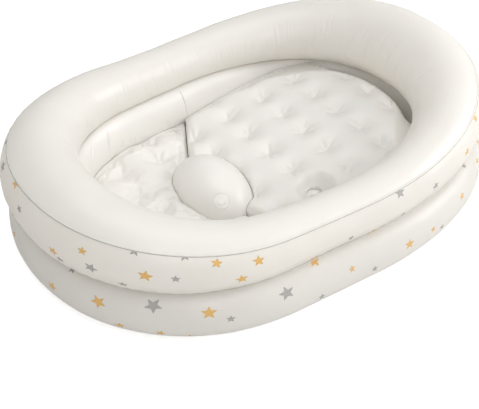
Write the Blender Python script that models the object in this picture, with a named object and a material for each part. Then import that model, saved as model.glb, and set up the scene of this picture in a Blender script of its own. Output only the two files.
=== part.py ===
"""An inflatable bath for a baby, at its real size, in metres, with +Z up.

Two air chambers lie one on the other and make an egg-shaped wall. A quilted
seat slopes up to the head, a thinner quilted floor lies at the foot, and a
saddle horn stands between them. The head is at +X, the far side at +Y and the
ground is z = 0. The origin is on the ground, on the plan curve's middle line,
where the curve's head half and foot half meet.

The wall is swept round one plan curve. A point of a wall section is given as
(reach, height): the reach is measured square to the plan curve, outward.
"""
import math

import bmesh
import bpy
import numpy as np
from mathutils import Matrix, Vector

# Plan curve: the centre line of the upper chamber
HALF_LENGTH = 0.362
HALF_WIDTH = 0.257
FOOT_CURVE_SHARE = 0.645
EGG_SHARE = 0.096
HEAD_POWER = 2.16
FOOT_POWER = 2.12
PLAN_STEPS = 64
PLAN_DENSE_STEPS = 1600

# Sheets: how thick each one is, and the gap that keeps two pieces apart
SHEET = 0.0006
GAP = 0.0003

# Upper chamber: the tube is fat at both ends and slim at the sides
UPPER_RADIUS_SIDE = 0.0428
UPPER_RADIUS_HEAD = 0.0693
UPPER_RADIUS_FOOT = 0.0640
UPPER_CUT = 0.0146
UPPER_HEAD_WELD_REACH = 0.008
HEAD_UNDERCUT_START_SHARE = 0.15
SEAM_ANGLE = math.radians(45)
UPPER_BAND_STEPS = 5
UPPER_TOP_STEPS = 11

# Lower chamber: how far its walls reach from the plan curve, out and in
CREASE_HEIGHT = 0.083
LOWER_OUT_SIDE = 0.0649
LOWER_OUT_HEAD = 0.0743
LOWER_OUT_FOOT = 0.0662
LOWER_IN_SIDE = 0.0585
LOWER_IN_HEAD = 0.030
LOWER_BELLY_HEIGHT = 0.035
LOWER_OUTER_ROLL = 0.0376
LOWER_INNER_ROLL = 0.020
LOWER_SHOULDER_STEPS = 4
LOWER_ROLL_STEPS = 3
BAND_END_ANGLE = math.radians(72)

# Welds: the lips that stand out where sheets are joined, and the seam's bead
DIVIDER_LIP = 0.0035
BASE_LIP = 0.006
SEAM_WIDTH = 0.005
SEAM_HEIGHT = 0.0008
SEAM_CROWN_SHARE = 0.45
SEAM_UNDERSIDE_STEPS = 2
SEAM_TOPSIDE_STEPS = 1

# Quilting: the lattice of spot welds that the floor's pads share
TUFT_PITCH_X = 0.078
TUFT_PITCH_Y = 0.064
TUFT_OFFSET_X = 0.040
TUFT_CELLS_X = 5
TUFT_CELLS_Y = 5
TUFT_RADIUS = 0.021
PAD_WALL_GAP = 0.0008
PAD_EDGE_WIDTH = 0.014
PAD_EDGE_DROP = 0.002
PAD_HEAD_EDGE_WIDTH = 0.026
PAD_HEAD_EDGE_DROP = 0.014
PAD_WALL_UPPER_STEPS = 4

# Seat pad: it rises from the horn to the head
SEAT_FRONT_HEIGHT = 0.022
SEAT_SLOPE_SHARE = 0.165
SEAT_CROWN = 0.017
SEAT_HEAD_GROOVE = 0.029
SEAT_FRONT_SIDE_X = -0.013
SEAT_FRONT_MIDDLE_X = -0.108
SEAT_FRONT_BEND = 0.045
SEAT_FRONT_GAP = 0.0012
FRONT_STEPS = 24
RIM_SPACING = 0.004

# Foot pad: thin and level
FOOT_PAD_HEIGHT = 0.010
FOOT_PAD_CROWN = 0.013

# Saddle horn: a mound between the legs, and the flange that welds it down
HORN_X = -0.084
HORN_HALF_LENGTH = 0.0620
HORN_HALF_WIDTH = 0.0905
HORN_HEIGHT = 0.0685
HORN_ROOT_HEIGHT = 0.007
HORN_STEPS = 28
HORN_RINGS = 8
HORN_FLANGE_WIDTH = 0.005
HORN_FLANGE_THICKNESS = 0.0012
HORN_PAD_GAP = 0.0008
HORN_RIM_SHARE = 0.85

# Air valve: a flange welded on the sheet, a stem that pushes in flush, a cap
# on a strap, and a flap at the inner end that keeps the air in
VALVE_FLANGE_RADIUS = 0.013
VALVE_FLANGE_THICKNESS = 0.0012
VALVE_SINK = 0.0016
STEM_RADIUS = 0.005
STEM_BORE_RADIUS = 0.003
STEM_LENGTH = 0.018
STEM_RIM_RADIUS = 0.0065
STEM_RIM_THICKNESS = 0.0012
CAP_RADIUS = 0.0058
CAP_THICKNESS = 0.0014
PEG_RADIUS = 0.0026
PEG_TIP_RADIUS = 0.0021
PEG_LENGTH = 0.004
STRAP_WIDTH = 0.003
STRAP_THICKNESS = 0.001
STRAP_LENGTH = 0.0022
PULL_TAB_LENGTH = 0.003
FLAP_RADIUS = 0.0044
FLAP_THICKNESS = 0.0005
FLAP_SWING_ROOM = 0.009
VALVE_POCKET_RADIUS = 0.0085
VALVE_STEPS = 20
HORN_VALVE_AZIMUTH = math.radians(-128)
HORN_VALVE_ELEVATION = math.radians(47)

# Drain: a seat welded over a hole in the base, and its plug on a strap
DRAIN_FOOT_INSET = 0.0685
DRAIN_BORE_RADIUS = 0.008
DRAIN_SEAT_RADIUS = 0.016
DRAIN_SEAT_THICKNESS = 0.0022
DRAIN_PLUG_RADIUS = 0.0115
DRAIN_PLUG_THICKNESS = 0.0022
DRAIN_PEG_RADIUS = 0.0076
DRAIN_PEG_TIP_RADIUS = 0.0070
DRAIN_STRAP_WIDTH = 0.005
DRAIN_STRAP_THICKNESS = 0.0014
DRAIN_STRAP_LENGTH = 0.004
DRAIN_KNOB_RADIUS = 0.003
DRAIN_KNOB_HEIGHT = 0.004
DRAIN_WELL_MARGIN = 0.0075
DRAIN_STEPS = 24

# How far a cutter runs past what it cuts
OVERRUN = 0.010

# Edges that turn by more than this stay crisp
SHARP_ANGLE = math.radians(40)

WHITE = (0.88, 0.87, 0.84)
FLOOR_WHITE = (0.90, 0.89, 0.86)
CLEAR_WHITE = (0.80, 0.81, 0.80)


def clear_scene():
    """Remove every object that the file opened with."""
    for thing in list(bpy.data.objects):
        bpy.data.objects.remove(thing, do_unlink=True)


def material(name, colour, roughness):
    """A plain vinyl or moulded finish."""
    made = bpy.data.materials.new(name)
    made.use_nodes = True
    shader = made.node_tree.nodes["Principled BSDF"]
    shader.inputs["Base Color"].default_value = (*colour, 1)
    shader.inputs["Roughness"].default_value = roughness
    shader.inputs["Metallic"].default_value = 0
    return made


def add_object(name, mesh, finish, smooth=True):
    """Put a bmesh into the scene as a named object."""
    bmesh.ops.recalc_face_normals(mesh, faces=mesh.faces)
    data = bpy.data.meshes.new(name)
    mesh.to_mesh(data)
    mesh.free()
    data.materials.append(finish)
    if smooth:
        data.shade_smooth()
        data.set_sharp_from_angle(angle=SHARP_ANGLE)
    made = bpy.data.objects.new(name, data)
    bpy.context.scene.collection.objects.link(made)
    return made


def cut(target, cutter, operation="DIFFERENCE"):
    """Cut a piece with a hidden cutter that stays in the file."""
    cutter.hide_render = True
    cutter.display_type = "WIRE"
    modifier = target.modifiers.new(cutter.name, "BOOLEAN")
    modifier.operation = operation
    modifier.solver = "EXACT"
    modifier.object = cutter


def along(share, head, side, foot):
    """A size that goes smoothly from foot (-1) past the sides (0) to head (+1)."""
    bend = (head + foot)/2 - side
    lean = (head - foot)/2
    return side + lean*share + bend*share*share


def ease(value, start, end):
    """0 before start, 1 after end, and a smooth rise between them."""
    part = min(max((value - start)/(end - start), 0), 1)
    return part*part*(3 - 2*part)


def plan_curve():
    """Points, outward normals and shares of the plan curve, evenly spaced from the head."""
    quarter = np.linspace(0, math.pi/2, PLAN_DENSE_STEPS)
    foot_run = HALF_LENGTH*FOOT_CURVE_SHARE
    head_x = HALF_LENGTH*np.cos(quarter)**(2/HEAD_POWER)
    head_y = np.sin(quarter)**(2/HEAD_POWER)
    foot_x = foot_run - HALF_LENGTH - foot_run*np.cos(quarter)**(2/FOOT_POWER)
    foot_y = np.sin(quarter)**(2/FOOT_POWER)
    x = np.concatenate([head_x, foot_x[::-1]])
    y = HALF_WIDTH*np.concatenate([head_y, foot_y[::-1]])*(1 + EGG_SHARE*x/HALF_LENGTH)
    length = np.concatenate([np.zeros(1), np.cumsum(np.hypot(np.diff(x), np.diff(y)))])
    stops = np.linspace(0, length[-1], PLAN_STEPS//2 + 1)
    run_x = np.interp(stops, length, np.gradient(x, length))
    run_y = np.interp(stops, length, np.gradient(y, length))
    size = np.hypot(run_x, run_y)
    far = list(zip(np.interp(stops, length, x), np.interp(stops, length, y), run_y/size, -run_x/size))
    near = [(px, -py, nx, -ny) for px, py, nx, ny in reversed(far[1:-1])]
    return [(float(px), float(py), float(nx), float(ny), float(px)/HALF_LENGTH)
            for px, py, nx, ny in far + near]


PLAN = plan_curve()


def upper_radius(share):
    """The upper tube's radius."""
    return along(share, UPPER_RADIUS_HEAD, UPPER_RADIUS_SIDE, UPPER_RADIUS_FOOT)


def upper_centre(share):
    """The height of the upper tube's centre."""
    return CREASE_HEIGHT + upper_radius(share) - UPPER_CUT


def outer_weld(share):
    """Where the two chambers are welded outside, as a reach and a height."""
    radius = upper_radius(share)
    return math.sqrt(radius**2 - (radius - UPPER_CUT)**2), CREASE_HEIGHT


def inner_weld(share):
    """The same weld inside: it goes back under the tube at the head."""
    radius = upper_radius(share)
    plain = outer_weld(share)[0]
    reach = plain + (UPPER_HEAD_WELD_REACH - plain)*ease(share, HEAD_UNDERCUT_START_SHARE, 1)
    return reach, upper_centre(share) - math.sqrt(radius**2 - reach**2)


def lower_out(share):
    """How far the lower chamber reaches outward."""
    return along(share, LOWER_OUT_HEAD, LOWER_OUT_SIDE, LOWER_OUT_FOOT)


def lower_in(share):
    """How far the lower chamber reaches inward."""
    return LOWER_IN_SIDE + (LOWER_IN_HEAD - LOWER_IN_SIDE)*ease(share, HEAD_UNDERCUT_START_SHARE, 1)


def arc(centre, radii, start, end, steps):
    """Points on an arc or a part of an ellipse."""
    turns = np.linspace(start, end, steps + 1)
    return [(centre[0] + radii[0]*math.cos(turn), centre[1] + radii[1]*math.sin(turn)) for turn in turns]


def dip(share, radius, height):
    """The angle below the horizontal where a circle of the upper tube comes to a height."""
    return math.asin((upper_centre(share) - height)/radius)


def upper_chamber_section(share):
    """The upper chamber: a circle, flat on the divider, and set in under its printed band."""
    centre = (0, upper_centre(share))
    radius = upper_radius(share)
    inset = radius - SHEET - GAP
    foot = outer_weld(share)[1] + SHEET/2 + GAP
    heel = inner_weld(share)[1] + SHEET/2 + GAP
    band = arc(centre, (inset, inset), -dip(share, inset, foot), SEAM_ANGLE, UPPER_BAND_STEPS)
    top = arc(centre, (radius, radius), SEAM_ANGLE, math.pi + dip(share, radius, heel), UPPER_TOP_STEPS)
    return band + top + [(-inner_weld(share)[0], heel)]


def upper_band_section(share):
    """The printed sheet of the upper chamber, from the crease up to the seam."""
    centre = (0, upper_centre(share))
    outer = upper_radius(share)
    inner = outer - SHEET
    foot = outer_weld(share)[1] + SHEET/2 + GAP
    end = SEAM_ANGLE - GAP/inner
    outside = arc(centre, (outer, outer), -dip(share, outer, foot), end, UPPER_BAND_STEPS)
    inside = arc(centre, (inner, inner), -dip(share, inner, foot), end, UPPER_BAND_STEPS)
    return outside + inside[::-1]


def seam_bead_section(share):
    """The low bead along the seam between the plain sheet and the printed one."""
    centre = (0, upper_centre(share))
    base = upper_radius(share) + GAP
    crown = base + SEAM_HEIGHT
    half = SEAM_WIDTH/2/base
    crown_half = half*SEAM_CROWN_SHARE
    underside = arc(centre, (base, base), SEAM_ANGLE - half, SEAM_ANGLE + half, SEAM_UNDERSIDE_STEPS)
    topside = arc(centre, (crown, crown), SEAM_ANGLE + crown_half, SEAM_ANGLE - crown_half,
                  SEAM_TOPSIDE_STEPS)
    return underside + topside


def divider_section(share):
    """The sheet between the chambers, with a lip past each weld."""
    out_reach, out_height = outer_weld(share)
    in_reach, in_height = inner_weld(share)
    line = [(out_reach + DIVIDER_LIP, out_height), (out_reach, out_height),
            (-in_reach, in_height), (-in_reach - DIVIDER_LIP, in_height)]
    above = [(reach, height + SHEET/2) for reach, height in line]
    below = [(reach, height - SHEET/2) for reach, height in reversed(line)]
    return above + below


def lower_wall(share, inset):
    """The lower chamber's outer wall, set in by some depth, from the crease to the band's end."""
    weld_reach, weld_height = outer_weld(share)
    weld_height = weld_height - SHEET/2 - GAP
    out = lower_out(share)
    floor = SHEET + GAP
    shoulder_radii = (out - inset - weld_reach, weld_height - inset - LOWER_BELLY_HEIGHT)
    shoulder = arc((weld_reach, LOWER_BELLY_HEIGHT), shoulder_radii, math.pi/2, 0, LOWER_SHOULDER_STEPS)
    roll_radii = (LOWER_OUTER_ROLL - inset, LOWER_BELLY_HEIGHT - floor - inset)
    roll_centre = (out - LOWER_OUTER_ROLL, LOWER_BELLY_HEIGHT)
    roll = arc(roll_centre, roll_radii, 0, -BAND_END_ANGLE, LOWER_ROLL_STEPS)
    return shoulder + roll[1:]


def lower_chamber_section(share):
    """The lower chamber, flat on the ground, with a belly outside and inside."""
    outside = lower_wall(share, SHEET + GAP)
    footing = (lower_out(share) - LOWER_OUTER_ROLL, SHEET + GAP)
    weld_reach, weld_height = inner_weld(share)
    weld_height = weld_height - SHEET/2 - GAP
    inside_reach = lower_in(share)
    floor = SHEET + GAP
    roll_radii = (LOWER_INNER_ROLL, LOWER_BELLY_HEIGHT - floor)
    roll = arc((LOWER_INNER_ROLL - inside_reach, LOWER_BELLY_HEIGHT), roll_radii,
               -math.pi/2, -math.pi, LOWER_ROLL_STEPS)
    shoulder_radii = (inside_reach - weld_reach, weld_height - LOWER_BELLY_HEIGHT)
    shoulder = arc((-weld_reach, LOWER_BELLY_HEIGHT), shoulder_radii, math.pi, math.pi/2,
                   LOWER_SHOULDER_STEPS)
    return outside + [footing] + roll + shoulder[1:]


def lower_band_section(share):
    """The printed sheet of the lower chamber, from the crease down to near the ground."""
    outside = lower_wall(share, 0)
    inside = lower_wall(share, SHEET)
    return outside + inside[::-1]


def swept(name, section, finish):
    """A closed section carried round the plan curve.

    Each face is split from its outer corner, so two pieces that follow the
    same line keep their gap where the line twists.
    """
    mesh = bmesh.new()
    loops = []
    for x, y, normal_x, normal_y, share in PLAN:
        points = section(share)
        verts = [mesh.verts.new((x + normal_x*reach, y + normal_y*reach, height))
                 for reach, height in points]
        loops.append(list(zip(points, verts)))
    for loop, after in zip(loops, loops[1:] + loops[:1]):
        for index in range(len(loop)):
            step = (index + 1) % len(loop)
            (here, first), (there, second) = loop[index], loop[step]
            third, fourth = after[step][1], after[index][1]
            if here > there:
                mesh.faces.new((first, second, third))
                mesh.faces.new((first, third, fourth))
            else:
                mesh.faces.new((first, second, fourth))
                mesh.faces.new((second, third, fourth))
    return add_object(name, mesh, finish)


def plan_outline(reach_at):
    """The plan curve moved outward by a reach that may change with the share."""
    return [(x + nx*reach_at(share), y + ny*reach_at(share)) for x, y, nx, ny, share in PLAN]


def plate(name, outline, low, high, finish, smooth=False):
    """A flat outline given a thickness."""
    mesh = bmesh.new()
    bottom = [mesh.verts.new((x, y, low)) for x, y in outline]
    top = [mesh.verts.new((x, y, high)) for x, y in outline]
    mesh.faces.new(bottom)
    mesh.faces.new(top)
    for index in range(len(outline)):
        step = (index + 1) % len(outline)
        mesh.faces.new((bottom[index], bottom[step], top[step], top[index]))
    return add_object(name, mesh, finish, smooth)


def turned(name, profile, steps, finish, origin=(0, 0, 0)):
    """A profile of (radius, height) points turned about Z; a radius of 0 is a point on the axis."""
    mesh = bmesh.new()
    rings = []
    for radius, height in profile:
        if radius == 0:
            rings.append([mesh.verts.new((-origin[0], -origin[1], height - origin[2]))]*steps)
        else:
            turns = [2*math.pi*step/steps for step in range(steps)]
            spots = [(radius*math.cos(turn), radius*math.sin(turn), height) for turn in turns]
            rings.append([mesh.verts.new(Vector(spot) - Vector(origin)) for spot in spots])
    closed = profile[0][0] != 0
    for ring, after in zip(rings, rings[1:] + (rings[:1] if closed else [])):
        for index in range(steps):
            step = (index + 1) % steps
            corners = list(dict.fromkeys((ring[index], ring[step], after[step], after[index])))
            mesh.faces.new(corners)
    made = add_object(name, mesh, finish)
    made.location = origin
    return made


def block(name, low, high, finish):
    """A box between two corners."""
    outline = [(low[0], low[1]), (high[0], low[1]), (high[0], high[1]), (low[0], high[1])]
    return plate(name, outline, low[2], high[2], finish)


def hang(piece, parent, location):
    """Parent a piece and place it in its parent's own frame."""
    piece.parent = parent
    piece.location = location


def front_x(y):
    """The line across the bath where the foot pad ends and the seat begins."""
    side_y = HALF_WIDTH - LOWER_IN_SIDE
    span = math.hypot(side_y, SEAT_FRONT_BEND) - SEAT_FRONT_BEND
    rise = (SEAT_FRONT_SIDE_X - SEAT_FRONT_MIDDLE_X)/span
    return SEAT_FRONT_MIDDLE_X + rise*(math.hypot(y, SEAT_FRONT_BEND) - SEAT_FRONT_BEND)


def pad_groove(share):
    """How far the pads stay back from the wall at the head."""
    return SEAT_HEAD_GROOVE*ease(share, HEAD_UNDERCUT_START_SHARE, 1)


def pad_reach(share):
    """The pads' outline at the height of the wall's belly and above it."""
    return -lower_in(share) - PAD_WALL_GAP - pad_groove(share)


def ellipse(centre_x, half_length, half_width, steps):
    """An ellipse on the bath's middle line."""
    turns = [2*math.pi*step/steps for step in range(steps)]
    return [(centre_x + half_length*math.cos(turn), half_width*math.sin(turn)) for turn in turns]


PAD_OUTLINE = plan_outline(pad_reach)
HORN_RIM = ellipse(HORN_X, HORN_HALF_LENGTH*HORN_RIM_SHARE, HORN_HALF_WIDTH*HORN_RIM_SHARE, HORN_STEPS)
DRAIN_WELL_RADIUS = DRAIN_SEAT_RADIUS + DRAIN_WELL_MARGIN
DRAIN_X = DRAIN_FOOT_INSET + LOWER_IN_SIDE - HALF_LENGTH


def front_line(shift):
    """Points along the seat's front, from the near wall to the far one, moved along X."""
    reach = HALF_WIDTH + OVERRUN
    return [(front_x(y) + shift, y) for y in np.linspace(-reach, reach, FRONT_STEPS + 1).tolist()]


def rim_points(outline, closed=True):
    """An outline as rows of x, y, edge width and edge drop, a few millimetres apart."""
    ring = outline + outline[:1] if closed else outline
    rows = []
    for (x0, y0), (x1, y1) in zip(ring, ring[1:]):
        count = max(1, math.ceil(math.hypot(x1 - x0, y1 - y0)/RIM_SPACING))
        for step in range(count):
            x = x0 + (x1 - x0)*step/count
            y = y0 + (y1 - y0)*step/count
            head = ease(x/HALF_LENGTH, HEAD_UNDERCUT_START_SHARE, 1)
            rows.append((x, y, PAD_EDGE_WIDTH + (PAD_HEAD_EDGE_WIDTH - PAD_EDGE_WIDTH)*head,
                         PAD_EDGE_DROP + (PAD_HEAD_EDGE_DROP - PAD_EDGE_DROP)*head))
    return np.array(rows)


def rim_fall(x, y, rims):
    """How full a pad is near its rims, from 0 to 1, and how far its rim has dropped."""
    rows = np.vstack(rims)
    away = np.hypot(rows[:, 0] - x, rows[:, 1] - y)
    nearest = int((away/rows[:, 2]).argmin())
    near = min(float(away[nearest]/rows[nearest, 2]), 1)
    full = math.sqrt(1 - (1 - near)**2)
    return full, float(rows[nearest, 3])*(1 - full)


def quilt(x, y):
    """0 at a spot weld of the quilting, and close to 1 on the crowns between them."""
    off_x = (x - TUFT_OFFSET_X) - TUFT_PITCH_X*round((x - TUFT_OFFSET_X)/TUFT_PITCH_X)
    off_y = y - TUFT_PITCH_Y*round(y/TUFT_PITCH_Y)
    return 1 - math.exp(-(off_x**2 + off_y**2)/TUFT_RADIUS**2)


def seat_line(x):
    """The height of the seat's spot welds."""
    return SEAT_FRONT_HEIGHT + SEAT_SLOPE_SHARE*(x - TUFT_OFFSET_X + TUFT_PITCH_X)


def pad_slab(name, line, crown, rims, start, end):
    """A quilted slab over a stretch of the bath, still wider than the pad that is cut from it."""
    step_x = TUFT_PITCH_X/TUFT_CELLS_X
    step_y = TUFT_PITCH_Y/TUFT_CELLS_Y
    first = math.floor((start - TUFT_OFFSET_X)/step_x)
    last = math.ceil((end - TUFT_OFFSET_X)/step_x)
    side = math.ceil(HALF_WIDTH/step_y)
    mesh = bmesh.new()
    grid = []
    for column in range(first, last + 1):
        row = []
        x = TUFT_OFFSET_X + column*step_x
        for place in range(-side, side + 1):
            y = place*step_y
            full, drop = rim_fall(x, y, rims)
            height = line(x) + crown*quilt(x, y)*full - drop
            row.append(mesh.verts.new((x, y, height)))
        grid.append(row)
    for row, after in zip(grid, grid[1:]):
        for a, b, c, d in zip(row, row[1:], after[1:], after):
            mesh.faces.new((a, b, c))
            mesh.faces.new((a, c, d))
    edge = ([row[0] for row in grid] + grid[-1][1:] + [row[-1] for row in reversed(grid[:-1])]
            + grid[0][-2:0:-1])
    floor = [mesh.verts.new((vert.co.x, vert.co.y, SHEET + GAP)) for vert in edge]
    for index in range(len(edge)):
        step = (index + 1) % len(edge)
        mesh.faces.new((edge[index], edge[step], floor[step], floor[index]))
    mesh.faces.new(floor)
    return add_object(name, mesh, FLOOR_VINYL)


def cutter_plate(name, outline, top):
    """A prism over an outline, from below the bath up to some height."""
    return plate(name, outline, -OVERRUN, top, VINYL)


def lofted(name, outlines, finish):
    """A closed solid through a stack of outlines, each one (points, height)."""
    mesh = bmesh.new()
    rings = [[mesh.verts.new((x, y, height)) for x, y in points] for points, height in outlines]
    for ring, after in zip(rings, rings[1:]):
        for index in range(len(ring)):
            step = (index + 1) % len(ring)
            mesh.faces.new((ring[index], ring[step], after[step], after[index]))
    mesh.faces.new(rings[0])
    mesh.faces.new(rings[-1])
    return add_object(name, mesh, finish)


def pad_wall_section(share):
    """The inner walls of both chambers, and the groove at the head, that trim the pads."""
    low_start = LOWER_ROLL_STEPS + 1 + LOWER_SHOULDER_STEPS
    wall = lower_chamber_section(share)[-low_start:]
    wall += upper_chamber_section(share)[-PAD_WALL_UPPER_STEPS - 2:-1][::-1]
    groove = ease(share, HEAD_UNDERCUT_START_SHARE, 1)
    straight = pad_reach(share)
    line = []
    for reach, height in wall:
        followed = reach - PAD_WALL_GAP
        if height > LOWER_BELLY_HEIGHT:
            line.append((min(followed, straight), height))
        else:
            line.append((followed + (straight - followed)*groove, height))
    return [(line[0][0], -OVERRUN)] + line + [(OVERRUN, line[-1][1]), (OVERRUN, -OVERRUN)]


def horn_levels(spare):
    """The horn's stack of outlines, made larger all round by some spare."""
    levels = [(1, SHEET + GAP - spare)]
    for ring in range(HORN_RINGS):
        rise = math.pi/2*ring/HORN_RINGS
        height = HORN_ROOT_HEIGHT + (HORN_HEIGHT + spare - HORN_ROOT_HEIGHT)*math.sin(rise)
        levels.append((math.cos(rise), height))
    return [(ellipse(HORN_X, (HORN_HALF_LENGTH + spare)*scale, (HORN_HALF_WIDTH + spare)*scale, HORN_STEPS),
             height) for scale, height in levels]


def pads():
    """The seat pad and the foot pad, trimmed to the wall, the horn and each other."""
    top = CREASE_HEIGHT + UPPER_RADIUS_HEAD
    outline = rim_points(PAD_OUTLINE)
    horn_rim = rim_points(HORN_RIM)
    well = rim_points(ellipse(DRAIN_X, DRAIN_WELL_RADIUS, DRAIN_WELL_RADIUS, DRAIN_STEPS))
    front = rim_points(front_line(0), closed=False)
    seat_end = HALF_LENGTH + pad_reach(1) + TUFT_PITCH_X/TUFT_CELLS_X
    foot_end = pad_reach(-1) + HALF_LENGTH + LOWER_INNER_ROLL + TUFT_PITCH_X/TUFT_CELLS_X
    seat = pad_slab("seat_pad", seat_line, SEAT_CROWN, [outline, horn_rim, front],
                    SEAT_FRONT_MIDDLE_X - SEAT_FRONT_GAP, seat_end)
    foot = pad_slab("foot_pad", lambda x: FOOT_PAD_HEIGHT, FOOT_PAD_CROWN, [outline, horn_rim, front, well],
                    -foot_end, front_x(HALF_WIDTH) + TUFT_PITCH_X/TUFT_CELLS_X)
    room = cutter_plate("pad_room_cutter", plan_outline(lambda share: 0), top)
    wall = swept("pad_wall_cutter", pad_wall_section, VINYL)
    horn_room = lofted("horn_room_cutter", horn_levels(HORN_PAD_GAP), VINYL)
    flange_reach = GAP + HORN_FLANGE_WIDTH + HORN_PAD_GAP
    flange_outline = ellipse(HORN_X, HORN_HALF_LENGTH + flange_reach, HORN_HALF_WIDTH + flange_reach,
                             HORN_STEPS)
    flange_room = cutter_plate("flange_room_cutter", flange_outline,
                               SHEET + GAP + HORN_FLANGE_THICKNESS + GAP)
    behind = [(-HALF_LENGTH, HALF_WIDTH + OVERRUN), (-HALF_LENGTH, -HALF_WIDTH - OVERRUN)]
    ahead = [(HALF_LENGTH, HALF_WIDTH + OVERRUN), (HALF_LENGTH, -HALF_WIDTH - OVERRUN)]
    foot_side = cutter_plate("foot_side_cutter", front_line(SEAT_FRONT_GAP/2) + behind, top)
    seat_side = cutter_plate("seat_side_cutter", front_line(-SEAT_FRONT_GAP/2) + ahead, top)
    for pad, other_side in ((seat, foot_side), (foot, seat_side)):
        cut(pad, room, "INTERSECT")
        cut(pad, wall)
        cut(pad, other_side)
        cut(pad, horn_room)
        cut(pad, flange_room)
    well_outline = ellipse(DRAIN_X, DRAIN_WELL_RADIUS, DRAIN_WELL_RADIUS, DRAIN_STEPS)
    cut(foot, cutter_plate("drain_well_cutter", well_outline, top))
    return seat, foot


def horn():
    """The saddle horn, a half egg on a short skirt, and the flange that welds it to the base."""
    low = SHEET + GAP
    body = lofted("saddle_horn", horn_levels(0), VINYL)
    inner = ellipse(HORN_X, HORN_HALF_LENGTH + GAP, HORN_HALF_WIDTH + GAP, HORN_STEPS)
    outer = ellipse(HORN_X, HORN_HALF_LENGTH + GAP + HORN_FLANGE_WIDTH,
                    HORN_HALF_WIDTH + GAP + HORN_FLANGE_WIDTH, HORN_STEPS)
    mesh = bmesh.new()
    loops = [[mesh.verts.new((x, y, height)) for x, y in outline]
             for outline, height in ((inner, low), (outer, low), (outer, low + HORN_FLANGE_THICKNESS),
                                     (inner, low + HORN_FLANGE_THICKNESS))]
    for loop, after in zip(loops, loops[1:] + loops[:1]):
        for index in range(HORN_STEPS):
            step = (index + 1) % HORN_STEPS
            mesh.faces.new((loop[index], loop[step], after[step], after[index]))
    add_object("horn_flange", mesh, VINYL)
    return body


def frame_empty(name, origin, outward, up):
    """An empty with its Z outward and its X as near to up as it can be."""
    outward = Vector(outward).normalized()
    side = Vector(up) - outward*outward.dot(Vector(up))
    side.normalize()
    across = outward.cross(side)
    made = bpy.data.objects.new(name, None)
    made.matrix_world = Matrix((side, across, outward)).transposed().to_4x4()
    made.location = origin
    bpy.context.scene.collection.objects.link(made)
    return made


def valve(prefix, origin, outward, up):
    """One air valve, and the cutter that makes its seat and the room behind it."""
    frame = frame_empty(prefix + "_valve_frame", origin, outward, up)
    flange_top = GAP + VALVE_FLANGE_THICKNESS
    rim_low = flange_top + GAP
    rim_top = rim_low + STEM_RIM_THICKNESS
    stem_low = rim_low - STEM_LENGTH
    hole = STEM_RADIUS + GAP
    flange = turned(prefix + "_valve_flange", [(hole, GAP), (VALVE_FLANGE_RADIUS, GAP),
                                               (VALVE_FLANGE_RADIUS, flange_top), (hole, flange_top)],
                    VALVE_STEPS, MOULDED)
    hang(flange, frame, (0, 0, 0))
    stem = turned(prefix + "_valve_stem", [(STEM_BORE_RADIUS, stem_low), (STEM_RADIUS, stem_low),
                                           (STEM_RADIUS, rim_low), (STEM_RIM_RADIUS, rim_low),
                                           (STEM_RIM_RADIUS, rim_top), (STEM_BORE_RADIUS, rim_top)],
                  VALVE_STEPS, MOULDED)
    hang(stem, frame, (0, 0, 0))
    hinge_x = STEM_RIM_RADIUS + STRAP_LENGTH
    hinge = (hinge_x, 0, rim_top + GAP + STRAP_THICKNESS/2)
    ear_start = STEM_RIM_RADIUS*math.cos(math.pi/VALVE_STEPS) - STEM_RIM_THICKNESS/2
    ear = block(prefix + "_stem_ear", (ear_start, -STRAP_WIDTH/2, rim_low),
                (hinge_x + STRAP_THICKNESS/2, STRAP_WIDTH/2, rim_top), MOULDED)
    hang(ear, frame, (0, 0, 0))
    cut(stem, ear, "UNION")
    cap_low = rim_top + GAP
    peg_low = cap_low - PEG_LENGTH
    cap_top = cap_low + CAP_THICKNESS
    cap = turned(prefix + "_valve_cap", [(0, peg_low), (PEG_TIP_RADIUS, peg_low), (PEG_RADIUS, cap_low),
                                         (CAP_RADIUS, cap_low), (CAP_RADIUS, cap_top), (0, cap_top)],
                 VALVE_STEPS, MOULDED, hinge)
    hang(cap, frame, hinge)
    strap_start = CAP_RADIUS - CAP_THICKNESS
    strap = block(prefix + "_cap_strap", (strap_start, -STRAP_WIDTH/2, cap_low),
                  (hinge_x, STRAP_WIDTH/2, cap_low + STRAP_THICKNESS), MOULDED)
    tab = block(prefix + "_cap_tab", (-CAP_RADIUS - PULL_TAB_LENGTH, -STRAP_WIDTH/2, cap_low),
                (-strap_start, STRAP_WIDTH/2, cap_low + STRAP_THICKNESS), MOULDED)
    for extra in (strap, tab):
        hang(extra, frame, (0, 0, 0))
        cut(cap, extra, "UNION")
    flap_top = stem_low - GAP
    flap_hinge = (FLAP_RADIUS, 0, flap_top - FLAP_THICKNESS/2)
    flap_low = flap_top - FLAP_THICKNESS
    flap = turned(prefix + "_check_flap", [(0, flap_low), (FLAP_RADIUS, flap_low),
                                           (FLAP_RADIUS, flap_top), (0, flap_top)],
                  VALVE_STEPS, MOULDED, flap_hinge)
    hang(flap, frame, flap_hinge)
    pocket_low = stem_low - FLAP_SWING_ROOM
    seat_radius = VALVE_FLANGE_RADIUS + GAP
    pocket = turned(prefix + "_valve_cutter", [(0, pocket_low), (VALVE_POCKET_RADIUS, pocket_low),
                                               (VALVE_POCKET_RADIUS, 0), (seat_radius, 0),
                                               (seat_radius, OVERRUN), (0, OVERRUN)],
                    VALVE_STEPS, VINYL)
    hang(pocket, frame, (0, 0, 0))
    return pocket


def widest_point():
    """The plan point that lies farthest to the far side, where the wall faces +Y."""
    return max(PLAN, key=lambda point: point[1])


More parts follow.
